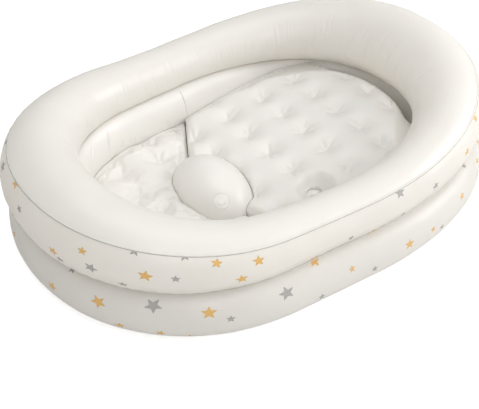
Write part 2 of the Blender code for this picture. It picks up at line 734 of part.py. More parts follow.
def upper_valve_place():
    """Where the upper chamber's valve seat is cut flat in its tube."""
    x, y, normal_x, normal_y, share = widest_point()
    inner = upper_radius(share) - SHEET - GAP
    reach = math.sqrt(inner**2 - VALVE_FLANGE_RADIUS**2) - VALVE_SINK
    return (x + normal_x*reach, y + normal_y*reach, upper_centre(share)), (normal_x, normal_y, 0)


def lower_valve_place():
    """Where the lower chamber's valve seat is cut flat in its belly."""
    x, y, normal_x, normal_y, share = widest_point()
    inset = SHEET + GAP
    roll_height = LOWER_BELLY_HEIGHT - inset - inset
    sag = (LOWER_OUTER_ROLL - inset)*(1 - math.sqrt(1 - (VALVE_FLANGE_RADIUS/roll_height)**2))
    reach = lower_out(share) - inset - sag - VALVE_SINK
    return (x + normal_x*reach, y + normal_y*reach, LOWER_BELLY_HEIGHT), (normal_x, normal_y, 0)


def floor_valve_place():
    """Where the floor's valve takes the place of one spot weld by the near wall."""
    room = HALF_WIDTH + pad_reach(0) - PAD_EDGE_WIDTH - VALVE_FLANGE_RADIUS
    rows = math.floor(room/TUFT_PITCH_Y)
    height = seat_line(TUFT_OFFSET_X - VALVE_FLANGE_RADIUS) - VALVE_SINK
    return (TUFT_OFFSET_X, -rows*TUFT_PITCH_Y, height), (0, 0, 1)


def horn_valve_place():
    """Where the horn's valve sits, on the slope that faces the foot and the near side."""
    outward = Vector((math.cos(HORN_VALVE_AZIMUTH)*math.cos(HORN_VALVE_ELEVATION),
                      math.sin(HORN_VALVE_AZIMUTH)*math.cos(HORN_VALVE_ELEVATION),
                      math.sin(HORN_VALVE_ELEVATION)))
    half = (HORN_HALF_LENGTH, HORN_HALF_WIDTH, HORN_HEIGHT - HORN_ROOT_HEIGHT)
    scaled = Vector([size*part for size, part in zip(half, outward)])
    point = Vector([size*part/scaled.length for size, part in zip(half, scaled)])
    sag = VALVE_FLANGE_RADIUS**2/(2*HORN_HALF_LENGTH)
    place = Vector((HORN_X, 0, HORN_ROOT_HEIGHT)) + point - outward*(sag + VALVE_SINK)
    return place, outward


def drain(base):
    """The drain's seat over a hole in the base sheet, and its plug on a strap."""
    frame = frame_empty("drain_frame", (DRAIN_X, 0, SHEET), (0, 0, 1), (1, 0, 0))
    hole = turned("drain_hole_cutter", [(0, -OVERRUN), (DRAIN_BORE_RADIUS, -OVERRUN),
                                        (DRAIN_BORE_RADIUS, OVERRUN), (0, OVERRUN)], DRAIN_STEPS, VINYL)
    hang(hole, frame, (0, 0, 0))
    cut(base, hole)
    seat_top = GAP + DRAIN_SEAT_THICKNESS
    seat = turned("drain_seat", [(DRAIN_BORE_RADIUS, GAP), (DRAIN_SEAT_RADIUS, GAP),
                                 (DRAIN_SEAT_RADIUS, seat_top), (DRAIN_BORE_RADIUS, seat_top)],
                  DRAIN_STEPS, MOULDED)
    hang(seat, frame, (0, 0, 0))
    plug_low = seat_top + GAP
    plug_top = plug_low + DRAIN_PLUG_THICKNESS
    hinge = (DRAIN_PLUG_RADIUS + DRAIN_STRAP_LENGTH, 0, plug_low + DRAIN_STRAP_THICKNESS/2)
    peg_low = plug_low - DRAIN_SEAT_THICKNESS
    plug = turned("drain_plug", [(0, peg_low), (DRAIN_PEG_TIP_RADIUS, peg_low),
                                 (DRAIN_PEG_RADIUS, plug_low), (DRAIN_PLUG_RADIUS, plug_low),
                                 (DRAIN_PLUG_RADIUS, plug_top), (DRAIN_KNOB_RADIUS, plug_top),
                                 (DRAIN_KNOB_RADIUS, plug_top + DRAIN_KNOB_HEIGHT),
                                 (0, plug_top + DRAIN_KNOB_HEIGHT)], DRAIN_STEPS, MOULDED, hinge)
    hang(plug, frame, hinge)
    strap = block("drain_strap", (DRAIN_PLUG_RADIUS - DRAIN_PLUG_THICKNESS, -DRAIN_STRAP_WIDTH/2, plug_low),
                  (hinge[0], DRAIN_STRAP_WIDTH/2, plug_low + DRAIN_STRAP_THICKNESS), MOULDED)
    hang(strap, frame, (0, 0, 0))
    cut(plug, strap, "UNION")


clear_scene()
VINYL = material("white_vinyl", WHITE, 0.3)
FLOOR_VINYL = material("floor_vinyl", FLOOR_WHITE, 0.4)
MOULDED = material("clear_moulded_vinyl", CLEAR_WHITE, 0.35)

upper_chamber = swept("upper_chamber", upper_chamber_section, VINYL)
upper_band = swept("upper_printed_band", upper_band_section, VINYL)
swept("upper_seam", seam_bead_section, VINYL)
swept("chamber_divider", divider_section, VINYL)
lower_chamber = swept("lower_chamber", lower_chamber_section, VINYL)
lower_band = swept("lower_printed_band", lower_band_section, VINYL)
base_outline = plan_outline(lambda share: lower_out(share) - LOWER_OUTER_ROLL + BASE_LIP)
base_sheet = plate("base_sheet", base_outline, 0, SHEET, VINYL)
seat_pad, foot_pad = pads()
horn_body = horn()
drain(base_sheet)

upper_pocket = valve("upper", *upper_valve_place(), (0, 0, 1))
lower_pocket = valve("lower", *lower_valve_place(), (0, 0, 1))
floor_pocket = valve("floor", *floor_valve_place(), (-1, 0, 0))
horn_pocket = valve("horn", *horn_valve_place(), (0, 0, 1))
for chamber, pocket in ((upper_chamber, upper_pocket), (upper_band, upper_pocket),
                        (lower_chamber, lower_pocket), (lower_band, lower_pocket),
                        (seat_pad, floor_pocket), (horn_body, horn_pocket)):
    cut(chamber, pocket)
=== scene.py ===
"""An inflatable bath for a baby: two stacked air rings of white vinyl sheet, a star
print on their outer side, a quilted seat and foot, a saddle horn, air valves and
a drain. All places and sizes are in metres, in the frame of the fixed model.
"""
import math

import bmesh
import bpy
import numpy as np
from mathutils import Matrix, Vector


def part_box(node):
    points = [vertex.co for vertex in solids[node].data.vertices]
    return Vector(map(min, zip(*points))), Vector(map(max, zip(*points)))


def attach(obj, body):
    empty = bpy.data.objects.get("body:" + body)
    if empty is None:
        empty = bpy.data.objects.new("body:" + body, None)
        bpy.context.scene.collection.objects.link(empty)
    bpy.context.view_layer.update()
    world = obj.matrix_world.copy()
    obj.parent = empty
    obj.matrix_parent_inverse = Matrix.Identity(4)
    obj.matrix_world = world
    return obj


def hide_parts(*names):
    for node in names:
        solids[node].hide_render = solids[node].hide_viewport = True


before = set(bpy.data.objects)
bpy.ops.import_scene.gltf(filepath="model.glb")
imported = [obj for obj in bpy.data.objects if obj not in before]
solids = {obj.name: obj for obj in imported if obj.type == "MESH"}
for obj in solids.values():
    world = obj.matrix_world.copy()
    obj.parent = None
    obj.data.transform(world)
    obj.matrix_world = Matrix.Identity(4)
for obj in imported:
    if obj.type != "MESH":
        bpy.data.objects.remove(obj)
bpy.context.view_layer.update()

# The white sheet of the upper air ring. It is calendered PVC film, about a third
# of a millimetre thick, welded flat by radio waves and then blown up, so the
# short inner side keeps small pleats and the long outer side is taut.
HALF_LENGTH = 0.362
HALF_WIDTH = 0.257
FOOT_CURVE_SHARE = 0.645
EGG_SHARE = 0.096
HEAD_POWER = 2.16
FOOT_POWER = 2.12
UPPER_RADIUS_HEAD = 0.0693
UPPER_RADIUS_SIDE = 0.0428
UPPER_RADIUS_FOOT = 0.0640
UPPER_CUT = 0.0146
HEAD_WELD_REACH = 0.008
UNDERCUT_START_SHARE = 0.15
CREASE_HEIGHT = 0.083
FILM = 0.0006
FILM_GAP = 0.0003
SEAM_ANGLE = math.radians(45)
AROUND = 960
UPPER_STEPS = 76
UNDER_STEPS = 6

turn = np.linspace(0, math.pi/2, 6000)
foot_run = HALF_LENGTH*FOOT_CURVE_SHARE
half_x = np.concatenate([HALF_LENGTH*np.cos(turn)**(2/HEAD_POWER),
                         (foot_run - HALF_LENGTH - foot_run*np.cos(turn)**(2/FOOT_POWER))[::-1]])
half_y = np.concatenate([np.sin(turn)**(2/HEAD_POWER), (np.sin(turn)**(2/FOOT_POWER))[::-1]])
half_y = HALF_WIDTH*half_y*(1 + EGG_SHARE*half_x/HALF_LENGTH)
rough_x = np.concatenate([half_x, half_x[-2::-1]])
rough_y = np.concatenate([half_y, -half_y[-2::-1]])
rough_way = np.concatenate([np.zeros(1), np.cumsum(np.hypot(np.diff(rough_x), np.diff(rough_y)))])
PERIMETER = float(rough_way[-1])
curve_way = np.linspace(0, PERIMETER, 1537)
curve_x = np.interp(curve_way, rough_way, rough_x)
curve_y = np.interp(curve_way, rough_way, rough_y)
step_x = np.roll(curve_x[:-1], -1) - np.roll(curve_x[:-1], 1)
step_y = np.roll(curve_y[:-1], -1) - np.roll(curve_y[:-1], 1)
normal_x = step_y/np.hypot(step_x, step_y)
normal_y = -step_x/np.hypot(step_x, step_y)
normal_x = np.append(normal_x, normal_x[0])
normal_y = np.append(normal_y, normal_y[0])


def srgb(code):
    """A hex colour as linear red, green, blue and alpha."""
    parts = [int(code[place:place + 2], 16)/255 for place in (0, 2, 4)]
    return (*[part/12.92 if part <= 0.04045 else ((part + 0.055)/1.055)**2.4 for part in parts], 1)


def add_node(tree, kind, settings=None, links=None):
    """A shader node with its values, its options and what feeds it."""
    node = tree.nodes.new(kind)
    for name, value in (settings or {}).items():
        if isinstance(name, int) or name in node.inputs:
            node.inputs[name].default_value = value
        else:
            setattr(node, name, value)
    for name, source in (links or {}).items():
        tree.links.new(source, node.inputs[name])
    return node


def new_finish(name):
    """A new material, its node tree, its shader and the output that gives a point's place."""
    finish = bpy.data.materials.new(name)
    finish.use_nodes = True
    tree = finish.node_tree
    place = add_node(tree, "ShaderNodeTexCoord").outputs["Object"]
    return finish, tree, tree.nodes["Principled BSDF"], place


def add_piece(name, mesh, node=None):
    """A piece of the tub from its mesh, in place of a fixed node where it stands for one."""
    piece = bpy.data.objects.new(name, mesh)
    bpy.context.scene.collection.objects.link(piece)
    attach(piece, "tub")
    if node:
        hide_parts(node)
    return piece


def shares(way):
    """From +1 at the head past 0 at the sides to -1 at the foot."""
    return np.interp(way % PERIMETER, curve_way, curve_x)/HALF_LENGTH


def place_on_wall(way, reach, height):
    """Points of the wall: a way along the plan curve, a reach outward from it and a height."""
    way, reach, height = np.broadcast_arrays(way % PERIMETER, reach, height)
    x = np.interp(way, curve_way, curve_x) + np.interp(way, curve_way, normal_x)*reach
    y = np.interp(way, curve_way, curve_y) + np.interp(way, curve_way, normal_y)*reach
    return np.stack([x, y, height], axis=-1)


def along(share, head, side, foot):
    """A size that changes smoothly from the foot past the sides to the head."""
    return side + (head - foot)/2*share + ((head + foot)/2 - side)*share**2


def ease(value, start, end):
    """0 before start, 1 after end, and a smooth rise between them."""
    part = np.clip((value - start)/(end - start), 0, 1)
    return part*part*(3 - 2*part)


def upper_tube(share):
    """The radius of the upper ring's tube and the height of its centre."""
    radius = along(share, UPPER_RADIUS_HEAD, UPPER_RADIUS_SIDE, UPPER_RADIUS_FOOT)
    return radius, CREASE_HEIGHT + radius - UPPER_CUT


def welds(share):
    """Reach and height of the weld between the rings, first outside, then inside."""
    radius, centre = upper_tube(share)
    outer = np.sqrt(radius**2 - (radius - UPPER_CUT)**2)
    inner = outer + (HEAD_WELD_REACH - outer)*ease(share, UNDERCUT_START_SHARE, 1)
    return (outer, CREASE_HEIGHT + 0*outer), (inner, centre - np.sqrt(radius**2 - inner**2))


def pleats(way, climb, rows):
    """How far a sheet stands out of its smooth shape round a table of pleats.

    A row is the way, the climb of the middle, the length, the depth, the width
    and the lean of one pleat, all in millimetres but the lean.
    """
    total = np.zeros(np.broadcast(way, climb).shape)
    for place, middle, length, depth, width, lean in rows:
        up = (climb*1000 - middle)/(length/2)
        across = way*1000 - place - lean*(climb*1000 - middle)
        across = (across + PERIMETER*500) % (PERIMETER*1000) - PERIMETER*500
        near = across/width
        fade = np.clip(1 - up**2, 0, 1)**1.3
        total -= depth*fade*(np.exp(-near**2) - 0.42*np.exp(-((np.abs(near) - 1.9)/1.1)**2))
    return total/1000


def swell(way, climb):
    """The slow unevenness that every blown sheet has, a few tenths of a millimetre."""
    turns = 2*math.pi*way/PERIMETER
    return 0.00035*(np.sin(7*turns + 30*climb) + 0.8*np.sin(13*turns - 45*climb + 1)
                    + 0.6*np.sin(23*turns + 60*climb + 2))


def closed_skin(name, points, finish, node):
    """A skin through a closed grid of points: round the bath, and round its section."""
    rows, columns = points.shape[:2]
    here = np.arange(rows*columns).reshape(rows, columns)
    ahead = np.roll(here, -1, axis=0)
    faces = np.stack([here, ahead, np.roll(ahead, -1, axis=1), np.roll(here, -1, axis=1)], axis=-1)
    mesh = bpy.data.meshes.new(name)
    mesh.from_pydata(points.reshape(-1, 3).tolist(), [], faces.reshape(-1, 4).tolist())
    mesh.materials.append(finish)
    mesh.shade_smooth()
    return add_piece(name, mesh, node)


# Calendered white PVC: rolled smooth, so it has a soft satin gloss, and full of
# chalk and pigment, so light goes a few millimetres into it and rounds the shade.
white_pvc, tree, shader, place = new_finish("white_calendered_pvc")
# blotches about 60 mm across, where the sheet is a little thicker or thinner
blotch = add_node(tree, "ShaderNodeTexNoise", {"Scale": 16.0, "Detail": 2.0}, {"Vector": place})
tone = add_node(tree, "ShaderNodeMix", {"data_type": "RGBA", 6: srgb("F8F6F2"), 7: srgb("F5F2EC")},
                {"Factor": blotch.outputs["Fac"]})
tree.links.new(tone.outputs[2], shader.inputs["Base Color"])
# polish that changes over about 20 mm
polish = add_node(tree, "ShaderNodeTexNoise", {"Scale": 50.0, "Detail": 3.0}, {"Vector": place})
sheen = add_node(tree, "ShaderNodeMapRange", {"To Min": 0.27, "To Max": 0.39},
                 {"Value": polish.outputs["Fac"]})
tree.links.new(sheen.outputs["Result"], shader.inputs["Roughness"])
# the rollers' fine orange peel, 2.5 mm apart: the real 0.5 mm is too fine to show
peel = add_node(tree, "ShaderNodeTexNoise", {"Scale": 400.0, "Detail": 1.0}, {"Vector": place})
grain = add_node(tree, "ShaderNodeBump", {"Strength": 0.12, "Distance": 0.0002},
                 {"Height": peel.outputs["Fac"]})
# slack waves about 30 mm long
slack = add_node(tree, "ShaderNodeTexNoise", {"Scale": 34.0, "Detail": 1.0}, {"Vector": place})
waves = add_node(tree, "ShaderNodeBump", {"Strength": 0.35, "Distance": 0.0012},
                 {"Height": slack.outputs["Fac"], "Normal": grain.outputs["Normal"]})
tree.links.new(waves.outputs["Normal"], shader.inputs["Normal"])
shader.inputs["IOR"].default_value = 1.53
shader.inputs["Subsurface Weight"].default_value = 0.12
shader.inputs["Subsurface Radius"].default_value = (0.006, 0.005, 0.004)
shader.inputs["Subsurface Scale"].default_value = 1.0
# the film is only 0.3 mm thick and lets about a third of the light into the hollow ring behind it
through = add_node(tree, "ShaderNodeBsdfTranslucent", {},
                   {"Color": tone.outputs[2], "Normal": waves.outputs["Normal"]})
thin = add_node(tree, "ShaderNodeMixShader", {0: 0.30}, {1: shader.outputs[0], 2: through.outputs[0]})
tree.links.new(thin.outputs[0], tree.nodes["Material Output"].inputs["Surface"])

way = np.linspace(0, PERIMETER, AROUND, endpoint=False)[:, None]
share = shares(way)
seeded = np.random.default_rng(11)
# place, middle angle as climb, length, depth, width and lean of the inner side's pleats
UPPER_PLEATS = 150
upper_pleats = []
for step in range(UPPER_PLEATS):
    home = PERIMETER*1000*(step + seeded.uniform(-0.4, 0.4))/UPPER_PLEATS
    bend = 0.3 + 0.9*abs(float(shares(np.array(home/1000))))
    upper_pleats.append((home, seeded.uniform(120, 160), seeded.uniform(26, 60),
                         seeded.uniform(0.25, 1.3)*bend, seeded.uniform(1.3, 2.6),
                         seeded.uniform(-0.08, 0.08)))


def upper_stand(way, angle):
    """How far the upper ring's sheets stand out of the round tube."""
    climb = angle*0.05
    pucker = 0.00035*np.sin(2*math.pi*way/0.0193 + 3*np.sin(way*21))*np.exp(-((angle + 0.62)/0.22)**2)
    seam_wave = 0.00022*np.sin(2*math.pi*way/0.0163 + 2*np.sin(way*34))
    seam_pucker = seam_wave*np.exp(-np.abs(angle - SEAM_ANGLE)/0.12)
    return pleats(way, climb, upper_pleats) + swell(way, climb)*0.7 + pucker + seam_pucker


radius, centre = upper_tube(share)
(outer_reach, outer_height), (inner_reach, inner_height) = welds(share)
foot_height = outer_height + FILM/2 + FILM_GAP
heel_height = inner_height + FILM/2 + FILM_GAP
tucked = radius - FILM - FILM_GAP
start = -np.arcsin((centre - foot_height)/tucked)
end = math.pi + np.arcsin((centre - heel_height)/radius)
angle = start + (end - start)*np.linspace(0, 1, UPPER_STEPS)[None, :]
skin_radius = tucked + (radius - tucked)*ease(angle, SEAM_ANGLE - 0.02, SEAM_ANGLE + 0.03)
skin_radius = skin_radius + upper_stand(way, angle)
reach = skin_radius*np.cos(angle)
height = centre + skin_radius*np.sin(angle)
across = np.linspace(0, 1, UNDER_STEPS + 2)[None, 1:-1]
under_reach = reach[:, -1:] + (reach[:, :1] - reach[:, -1:])*across
under_height = height[:, -1:] + (height[:, :1] - height[:, -1:])*across
# the ring's faces that the printed sheet will cover
upper_lap = np.zeros((AROUND, UPPER_STEPS + UNDER_STEPS), dtype=bool)
upper_lap[:, 1:UPPER_STEPS - 1] = angle[:, 2:] < SEAM_ANGLE - 0.07
upper_points = place_on_wall(way, np.hstack([reach, under_reach]), np.hstack([height, under_height]))
upper_ring = closed_skin("upper_air_ring", upper_points, white_pvc, "upper_chamber")

# The printed sheet of the upper ring. It is the same film, printed before it is cut,
# and its upper edge is welded under the white sheet's along the ring's shoulder.


def film_like_white(name, let_through):
    """The white film again, with another share of the light that it lets through."""
    film = white_pvc.copy()
    film.name = name
    mix = next(node for node in film.node_tree.nodes if node.type == "MIX_SHADER")
    mix.inputs[0].default_value = let_through
    return film


# the light crosses both faces of this sheet, which has a thickness here, so each lets more of it by
printed_pvc = film_like_white("printed_calendered_pvc", 0.42)
# where it covers the ring, it is the only film there, so the ring's own face under it stops little light
lap_pvc = film_like_white("thin_lap_pvc", 0.92)
band_share = np.linspace(0, 1, 22)[None, :]
band_end = SEAM_ANGLE - FILM_GAP/radius
band_start = -np.arcsin((centre - foot_height)/radius)
angle = band_start + (band_end - band_start)*band_share
stand = upper_stand(way, angle)
outside = place_on_wall(way, (radius + stand)*np.cos(angle), centre + (radius + stand)*np.sin(angle))
inside = place_on_wall(way, (radius + stand - FILM)*np.cos(angle),
                       centre + (radius + stand - FILM)*np.sin(angle))
upper_band = closed_skin("upper_printed_sheet", np.concatenate([outside, inside[:, ::-1]], axis=1),
                         printed_pvc, "upper_printed_band")

# The shoulder seam, where the white sheet and the printed one are welded edge to
# edge: a low bead, pinched every few millimetres by the welding bar's teeth.
bead_angle = np.array([-1.15, -0.5, -0.1, 0.25, 0.6, 1.0])[None, :]
bead_rise = np.array([0.1, 0.3, 1.0, 1.1, 0.6, 0.0])[None, :]
half_bead = 0.0019/radius
angle = SEAM_ANGLE + half_bead*bead_angle
pinch = 0.78 + 0.22*np.sin(2*math.pi*way/0.0042)
stand = upper_stand(way, angle) + 0.00012
crown = place_on_wall(way, (radius + stand + 0.0007*bead_rise*pinch)*np.cos(angle),
                      centre + (radius + stand + 0.0007*bead_rise*pinch)*np.sin(angle))
root = place_on_wall(way, (radius + stand - 0.0001)*np.cos(angle),
                     centre + (radius + stand - 0.0001)*np.sin(angle))
seam = closed_skin("shoulder_seam", np.concatenate([crown, root[:, ::-1]], axis=1),
                   white_pvc, "upper_seam")
# the bead's lower edge, painted grey: a painted shadow line where the bead shades the printed sheet below it
seam_shadow_paint, tree, shader, place = new_finish("painted_seam_shadow_pvc")
# the painted shadow, mottled in spots of about 8 mm
shadow_mottle = add_node(tree, "ShaderNodeTexNoise", {"Scale": 125.0, "Detail": 2.0}, {"Vector": place})
tone = add_node(tree, "ShaderNodeMix", {"data_type": "RGBA", 6: srgb("AEA79E"), 7: srgb("CBC6BE")},
                {"Factor": shadow_mottle.outputs["Fac"]})
tree.links.new(tone.outputs[2], shader.inputs["Base Color"])
shader.inputs["Roughness"].default_value = 0.45
shader.inputs["IOR"].default_value = 1.53
# the seam's second finish is the painted shadow line
seam.data.materials.append(seam_shadow_paint)
# the section has six columns on the crown and six on the root, and the last three, which take the painted
# shadow, run along this edge
edge = np.zeros((AROUND, 2*bead_angle.size), dtype=np.int32)
edge[:, [0, -1, -2]] = 1
seam.data.polygons.foreach_set("material_index", edge.ravel())

# The sheet between the rings, welded to both all round. Only its narrow lips show,
# deep in the crease outside and inside. They are film pressed flat between brass bars
# and printed with the bars' cross hatching. The real lips are glassier than the rest,
# but here they keep the sheet's own gloss.
pressed_weld = white_pvc.copy()
pressed_weld.name = "pressed_weld_pvc"
tree = pressed_weld.node_tree
place = next(node for node in tree.nodes if node.type == "TEX_COORD").outputs["Object"]
# hatching 1.5 mm apart: the real 0.8 mm is too fine to show
hatch = add_node(tree, "ShaderNodeTexVoronoi", {"Scale": 650.0}, {"Vector": place})
pressed = add_node(tree, "ShaderNodeBump", {"Strength": 0.5, "Distance": 0.0003},
                   {"Height": hatch.outputs["Distance"]})
tree.links.new(pressed.outputs["Normal"], tree.nodes["Principled BSDF"].inputs["Normal"])


def dress(names, finish):
    """Give fixed nodes their finish."""
    for name in names:
        solids[name].data.materials.clear()
        solids[name].data.materials.append(finish)


dress(["chamber_divider"], pressed_weld)

# The lower air ring. It is slimmer, its belly is squashed on the ground, and its
# inner side is pleated where the long sheet is welded to the short floor edge. Its
# film, and that of the pads and the horn, is heavier and lets less light through.
heavy_pvc = film_like_white("heavy_calendered_pvc", 0.15)
LOWER_OUT_HEAD = 0.0743
LOWER_OUT_SIDE = 0.0649
LOWER_OUT_FOOT = 0.0662
LOWER_IN_SIDE = 0.0585
LOWER_IN_HEAD = 0.030
BELLY_HEIGHT = 0.035
OUTER_ROLL = 0.0376
INNER_ROLL = 0.020
BAND_END_ANGLE = math.radians(72)
LOWER_PLEATS = 130

# place, middle, length, depth, width and lean, as above, with the height as climb
lower_pleats = []
for step in range(LOWER_PLEATS):
    home = PERIMETER*1000*(step + seeded.uniform(-0.45, 0.45))/LOWER_PLEATS
    lower_pleats.append((home, seeded.uniform(20, 40), seeded.uniform(14, 34), seeded.uniform(0.2, 1.2),
                         seeded.uniform(1.6, 3.4), seeded.uniform(-0.1, 0.1)))


def way_beside(x, y):
    """The way along the plan curve that lies nearest a point."""
    return float(curve_way[np.hypot(curve_x - x, curve_y - y).argmin()])


# long creases across the inner wall at the foot: top and bottom on the plan, in metres
for top, bottom in (((-0.215, 0.160), (-0.229, 0.130)), ((-0.178, 0.180), (-0.182, 0.159)),
                    ((-0.205, -0.165), (-0.214, -0.142)), ((-0.150, -0.190), (-0.149, -0.170))):
    above = way_beside(*top)*1000
    below = way_beside(*bottom)*1000
    lower_pleats.append(((above + below)/2, 60, 50, 2.6, 2.1, (above - below)/30))


def lower_wall(way, share, inset, shoulder_steps=20, roll_steps=14):
    """Reach and height down the lower ring's outer side, from the crease to the ground roll."""
    weld_reach, weld_height = welds(share)[0]
    out = along(share, LOWER_OUT_HEAD, LOWER_OUT_SIDE, LOWER_OUT_FOOT)
    top = weld_height - FILM/2 - FILM_GAP
    turns = np.linspace(math.pi/2, 0, shoulder_steps)[None, :]
    reach_1 = weld_reach + (out - inset - weld_reach)*np.cos(turns)
    height_1 = BELLY_HEIGHT + (top - inset - BELLY_HEIGHT)*np.sin(turns)
    turns = np.linspace(0, -BAND_END_ANGLE, roll_steps)[None, 1:]
    reach_2 = out - OUTER_ROLL + (OUTER_ROLL - inset)*np.cos(turns)
    height_2 = BELLY_HEIGHT + (BELLY_HEIGHT - FILM - FILM_GAP - inset)*np.sin(turns) + 0*reach_2
    reach = np.hstack([reach_1, reach_2])
    height = np.hstack([height_1, height_2])
    stand = lower_stand(way, height)
    return reach + stand*(1 - ease(-height, -0.016, -0.006)), height


def lower_stand(way, height):
    """How far the lower ring's outer side stands out, with small puckers under the crease."""
    near = np.exp(-((CREASE_HEIGHT - height)/0.007))
    return 0.0003*near*np.sin(2*math.pi*way/0.0212 + 2.4*np.sin(way*17)) + 0.5*swell(way, height)


outer_line, outer_rise = lower_wall(way, share, FILM + FILM_GAP)
inner_reach, inner_height = welds(share)[1]
floor_height = FILM + FILM_GAP
inside_reach = LOWER_IN_SIDE + (LOWER_IN_HEAD - LOWER_IN_SIDE)*ease(share, UNDERCUT_START_SHARE, 1)
footing = along(share, LOWER_OUT_HEAD, LOWER_OUT_SIDE, LOWER_OUT_FOOT) - OUTER_ROLL
flat = np.linspace(0, 1, 8)[None, :-1]
under_line = footing + (INNER_ROLL - inside_reach - footing)*flat
under_rise = floor_height + 0*under_line
turns = np.linspace(-math.pi/2, -math.pi, 14)[None, :]
roll_line = INNER_ROLL - inside_reach + INNER_ROLL*np.cos(turns)
roll_rise = BELLY_HEIGHT + (BELLY_HEIGHT - floor_height)*np.sin(turns) + 0*roll_line
turns = np.linspace(math.pi, math.pi/2, 20)[None, 1:]
top = inner_height - FILM/2 - FILM_GAP
shoulder_line = -inner_reach + (inside_reach - inner_reach)*np.cos(turns)
shoulder_rise = BELLY_HEIGHT + (top - BELLY_HEIGHT)*np.sin(turns)
inner_line = np.hstack([roll_line, shoulder_line])
inner_rise = np.hstack([roll_rise, shoulder_rise])
inner_stand = pleats(way, inner_rise, lower_pleats) + 0.8*swell(way, inner_rise)
# the wall is smooth where a pad's rim rests on it and pleated between the pads and the crease
pad_top = np.maximum(0.016, 0.028 + 0.165*(share*HALF_LENGTH + 0.038))
pleated = ease(inner_rise, pad_top, pad_top + 0.008)
inner_line = inner_line - inner_stand*pleated*(1 - ease(inner_rise, 0.070, 0.082))
lower_reach = np.hstack([outer_line, under_line, inner_line])
# this ring's faces that its printed sheet will cover
lower_lap = np.zeros(lower_reach.shape, dtype=bool)
lower_lap[:, 2:outer_line.shape[1] - 3] = True
lower_points = place_on_wall(way, lower_reach, np.hstack([outer_rise, under_rise, inner_rise]))
lower_ring = closed_skin("lower_air_ring", lower_points, heavy_pvc, "lower_chamber")


def inner_wall(share, height):
    """How far inward the rings' inner walls reach at a height, as a reach."""
    radius, centre = upper_tube(share)
    weld, weld_height = welds(share)[1]
    belly = LOWER_IN_SIDE + (LOWER_IN_HEAD - LOWER_IN_SIDE)*ease(share, UNDERCUT_START_SHARE, 1)
    sink = np.clip((BELLY_HEIGHT - height)/(BELLY_HEIGHT - FILM - FILM_GAP), 0, 1)
    rise = np.clip((height - BELLY_HEIGHT)/(weld_height - BELLY_HEIGHT), 0, 1)
    lower = np.where(height < BELLY_HEIGHT, belly - INNER_ROLL*(1 - np.sqrt(1 - sink**2)),
                     weld + (belly - weld)*np.sqrt(1 - rise**2))
    lower = np.where(height > weld_height, 0, lower)
    upper = np.sqrt(np.clip(radius**2 - (centre - height)**2, 0, None))
    return -np.maximum(lower, np.where(height > weld_height - 0.004, upper, 0))


# The end seams of the inner sheet: two plain laps a little over 3 mm wide, one on
# each long side, where the strip of film that goes round the inside was joined up.
END_SEAM_PLACES = ((-0.009, 0.191), (0.150, -0.191))
LAP_RISE = np.array([-0.2, 0.6, 0.9, 0.9, 0.6, -0.2])/1000
LAP_ACROSS = np.array([-1.7, -1.3, -0.5, 0.5, 1.3, 1.7])/1000
LAP_ROWS = 26
for number, spot in enumerate(END_SEAM_PLACES, 1):
    rise = np.linspace(0.030, 0.0795, LAP_ROWS)[:, None]
    lap_way = way_beside(*spot) + LAP_ACROSS[None, :] + 0*rise
    lap_share = shares(lap_way)
    lap_reach = inner_wall(lap_share, rise) - LAP_RISE[None, :]
    lap_points = place_on_wall(lap_way, lap_reach, rise + 0*lap_way).reshape(-1, 3)
    columns = len(LAP_ACROSS)
    lap_faces = []
    for row in range(LAP_ROWS - 1):
        for column in range(columns):
            after = (column + 1) % columns
            low, high = row*columns, (row + 1)*columns
            lap_faces.append((low + column, high + column, high + after, low + after))
    lap_faces.append(tuple(range(columns)))
    lap_faces.append(tuple((LAP_ROWS - 1)*columns + column for column in reversed(range(columns))))
    lap_mesh = bpy.data.meshes.new(f"inner_end_seam_{number}")
    lap_mesh.from_pydata(lap_points.tolist(), [], lap_faces)
    lap_mesh.materials.append(white_pvc)
    lap_mesh.shade_smooth()
    add_piece(f"inner_end_seam_{number}", lap_mesh)

# The printed sheet of the lower ring, from the crease down to the ground roll.
outer_line, outer_rise = lower_wall(way, share, 0)
inner_line, inner_rise = lower_wall(way, share, FILM)
outside = place_on_wall(way, outer_line, outer_rise)
inside = place_on_wall(way, inner_line, inner_rise)
lower_band = closed_skin("lower_printed_sheet", np.concatenate([outside, inside[:, ::-1]], axis=1),
                         printed_pvc, "lower_printed_band")
for skin in (lower_ring, lower_band):
    skin.data.flip_normals()

# The star print on both rings: a common pattern of small five-pointed stars in two
# inks, gold and grey, laid on the film by gravure rollers before it is welded.
# Welds and creases cut through some stars, because the sheet is printed whole.
INK = 0.00008
STAR_WAIST_SHARE = 0.45
# in millimetres: the least room between two stars, and the way along the wall that shows in the photo
STAR_ROOM = 29
NEAR_SIDE = (975, 1800)
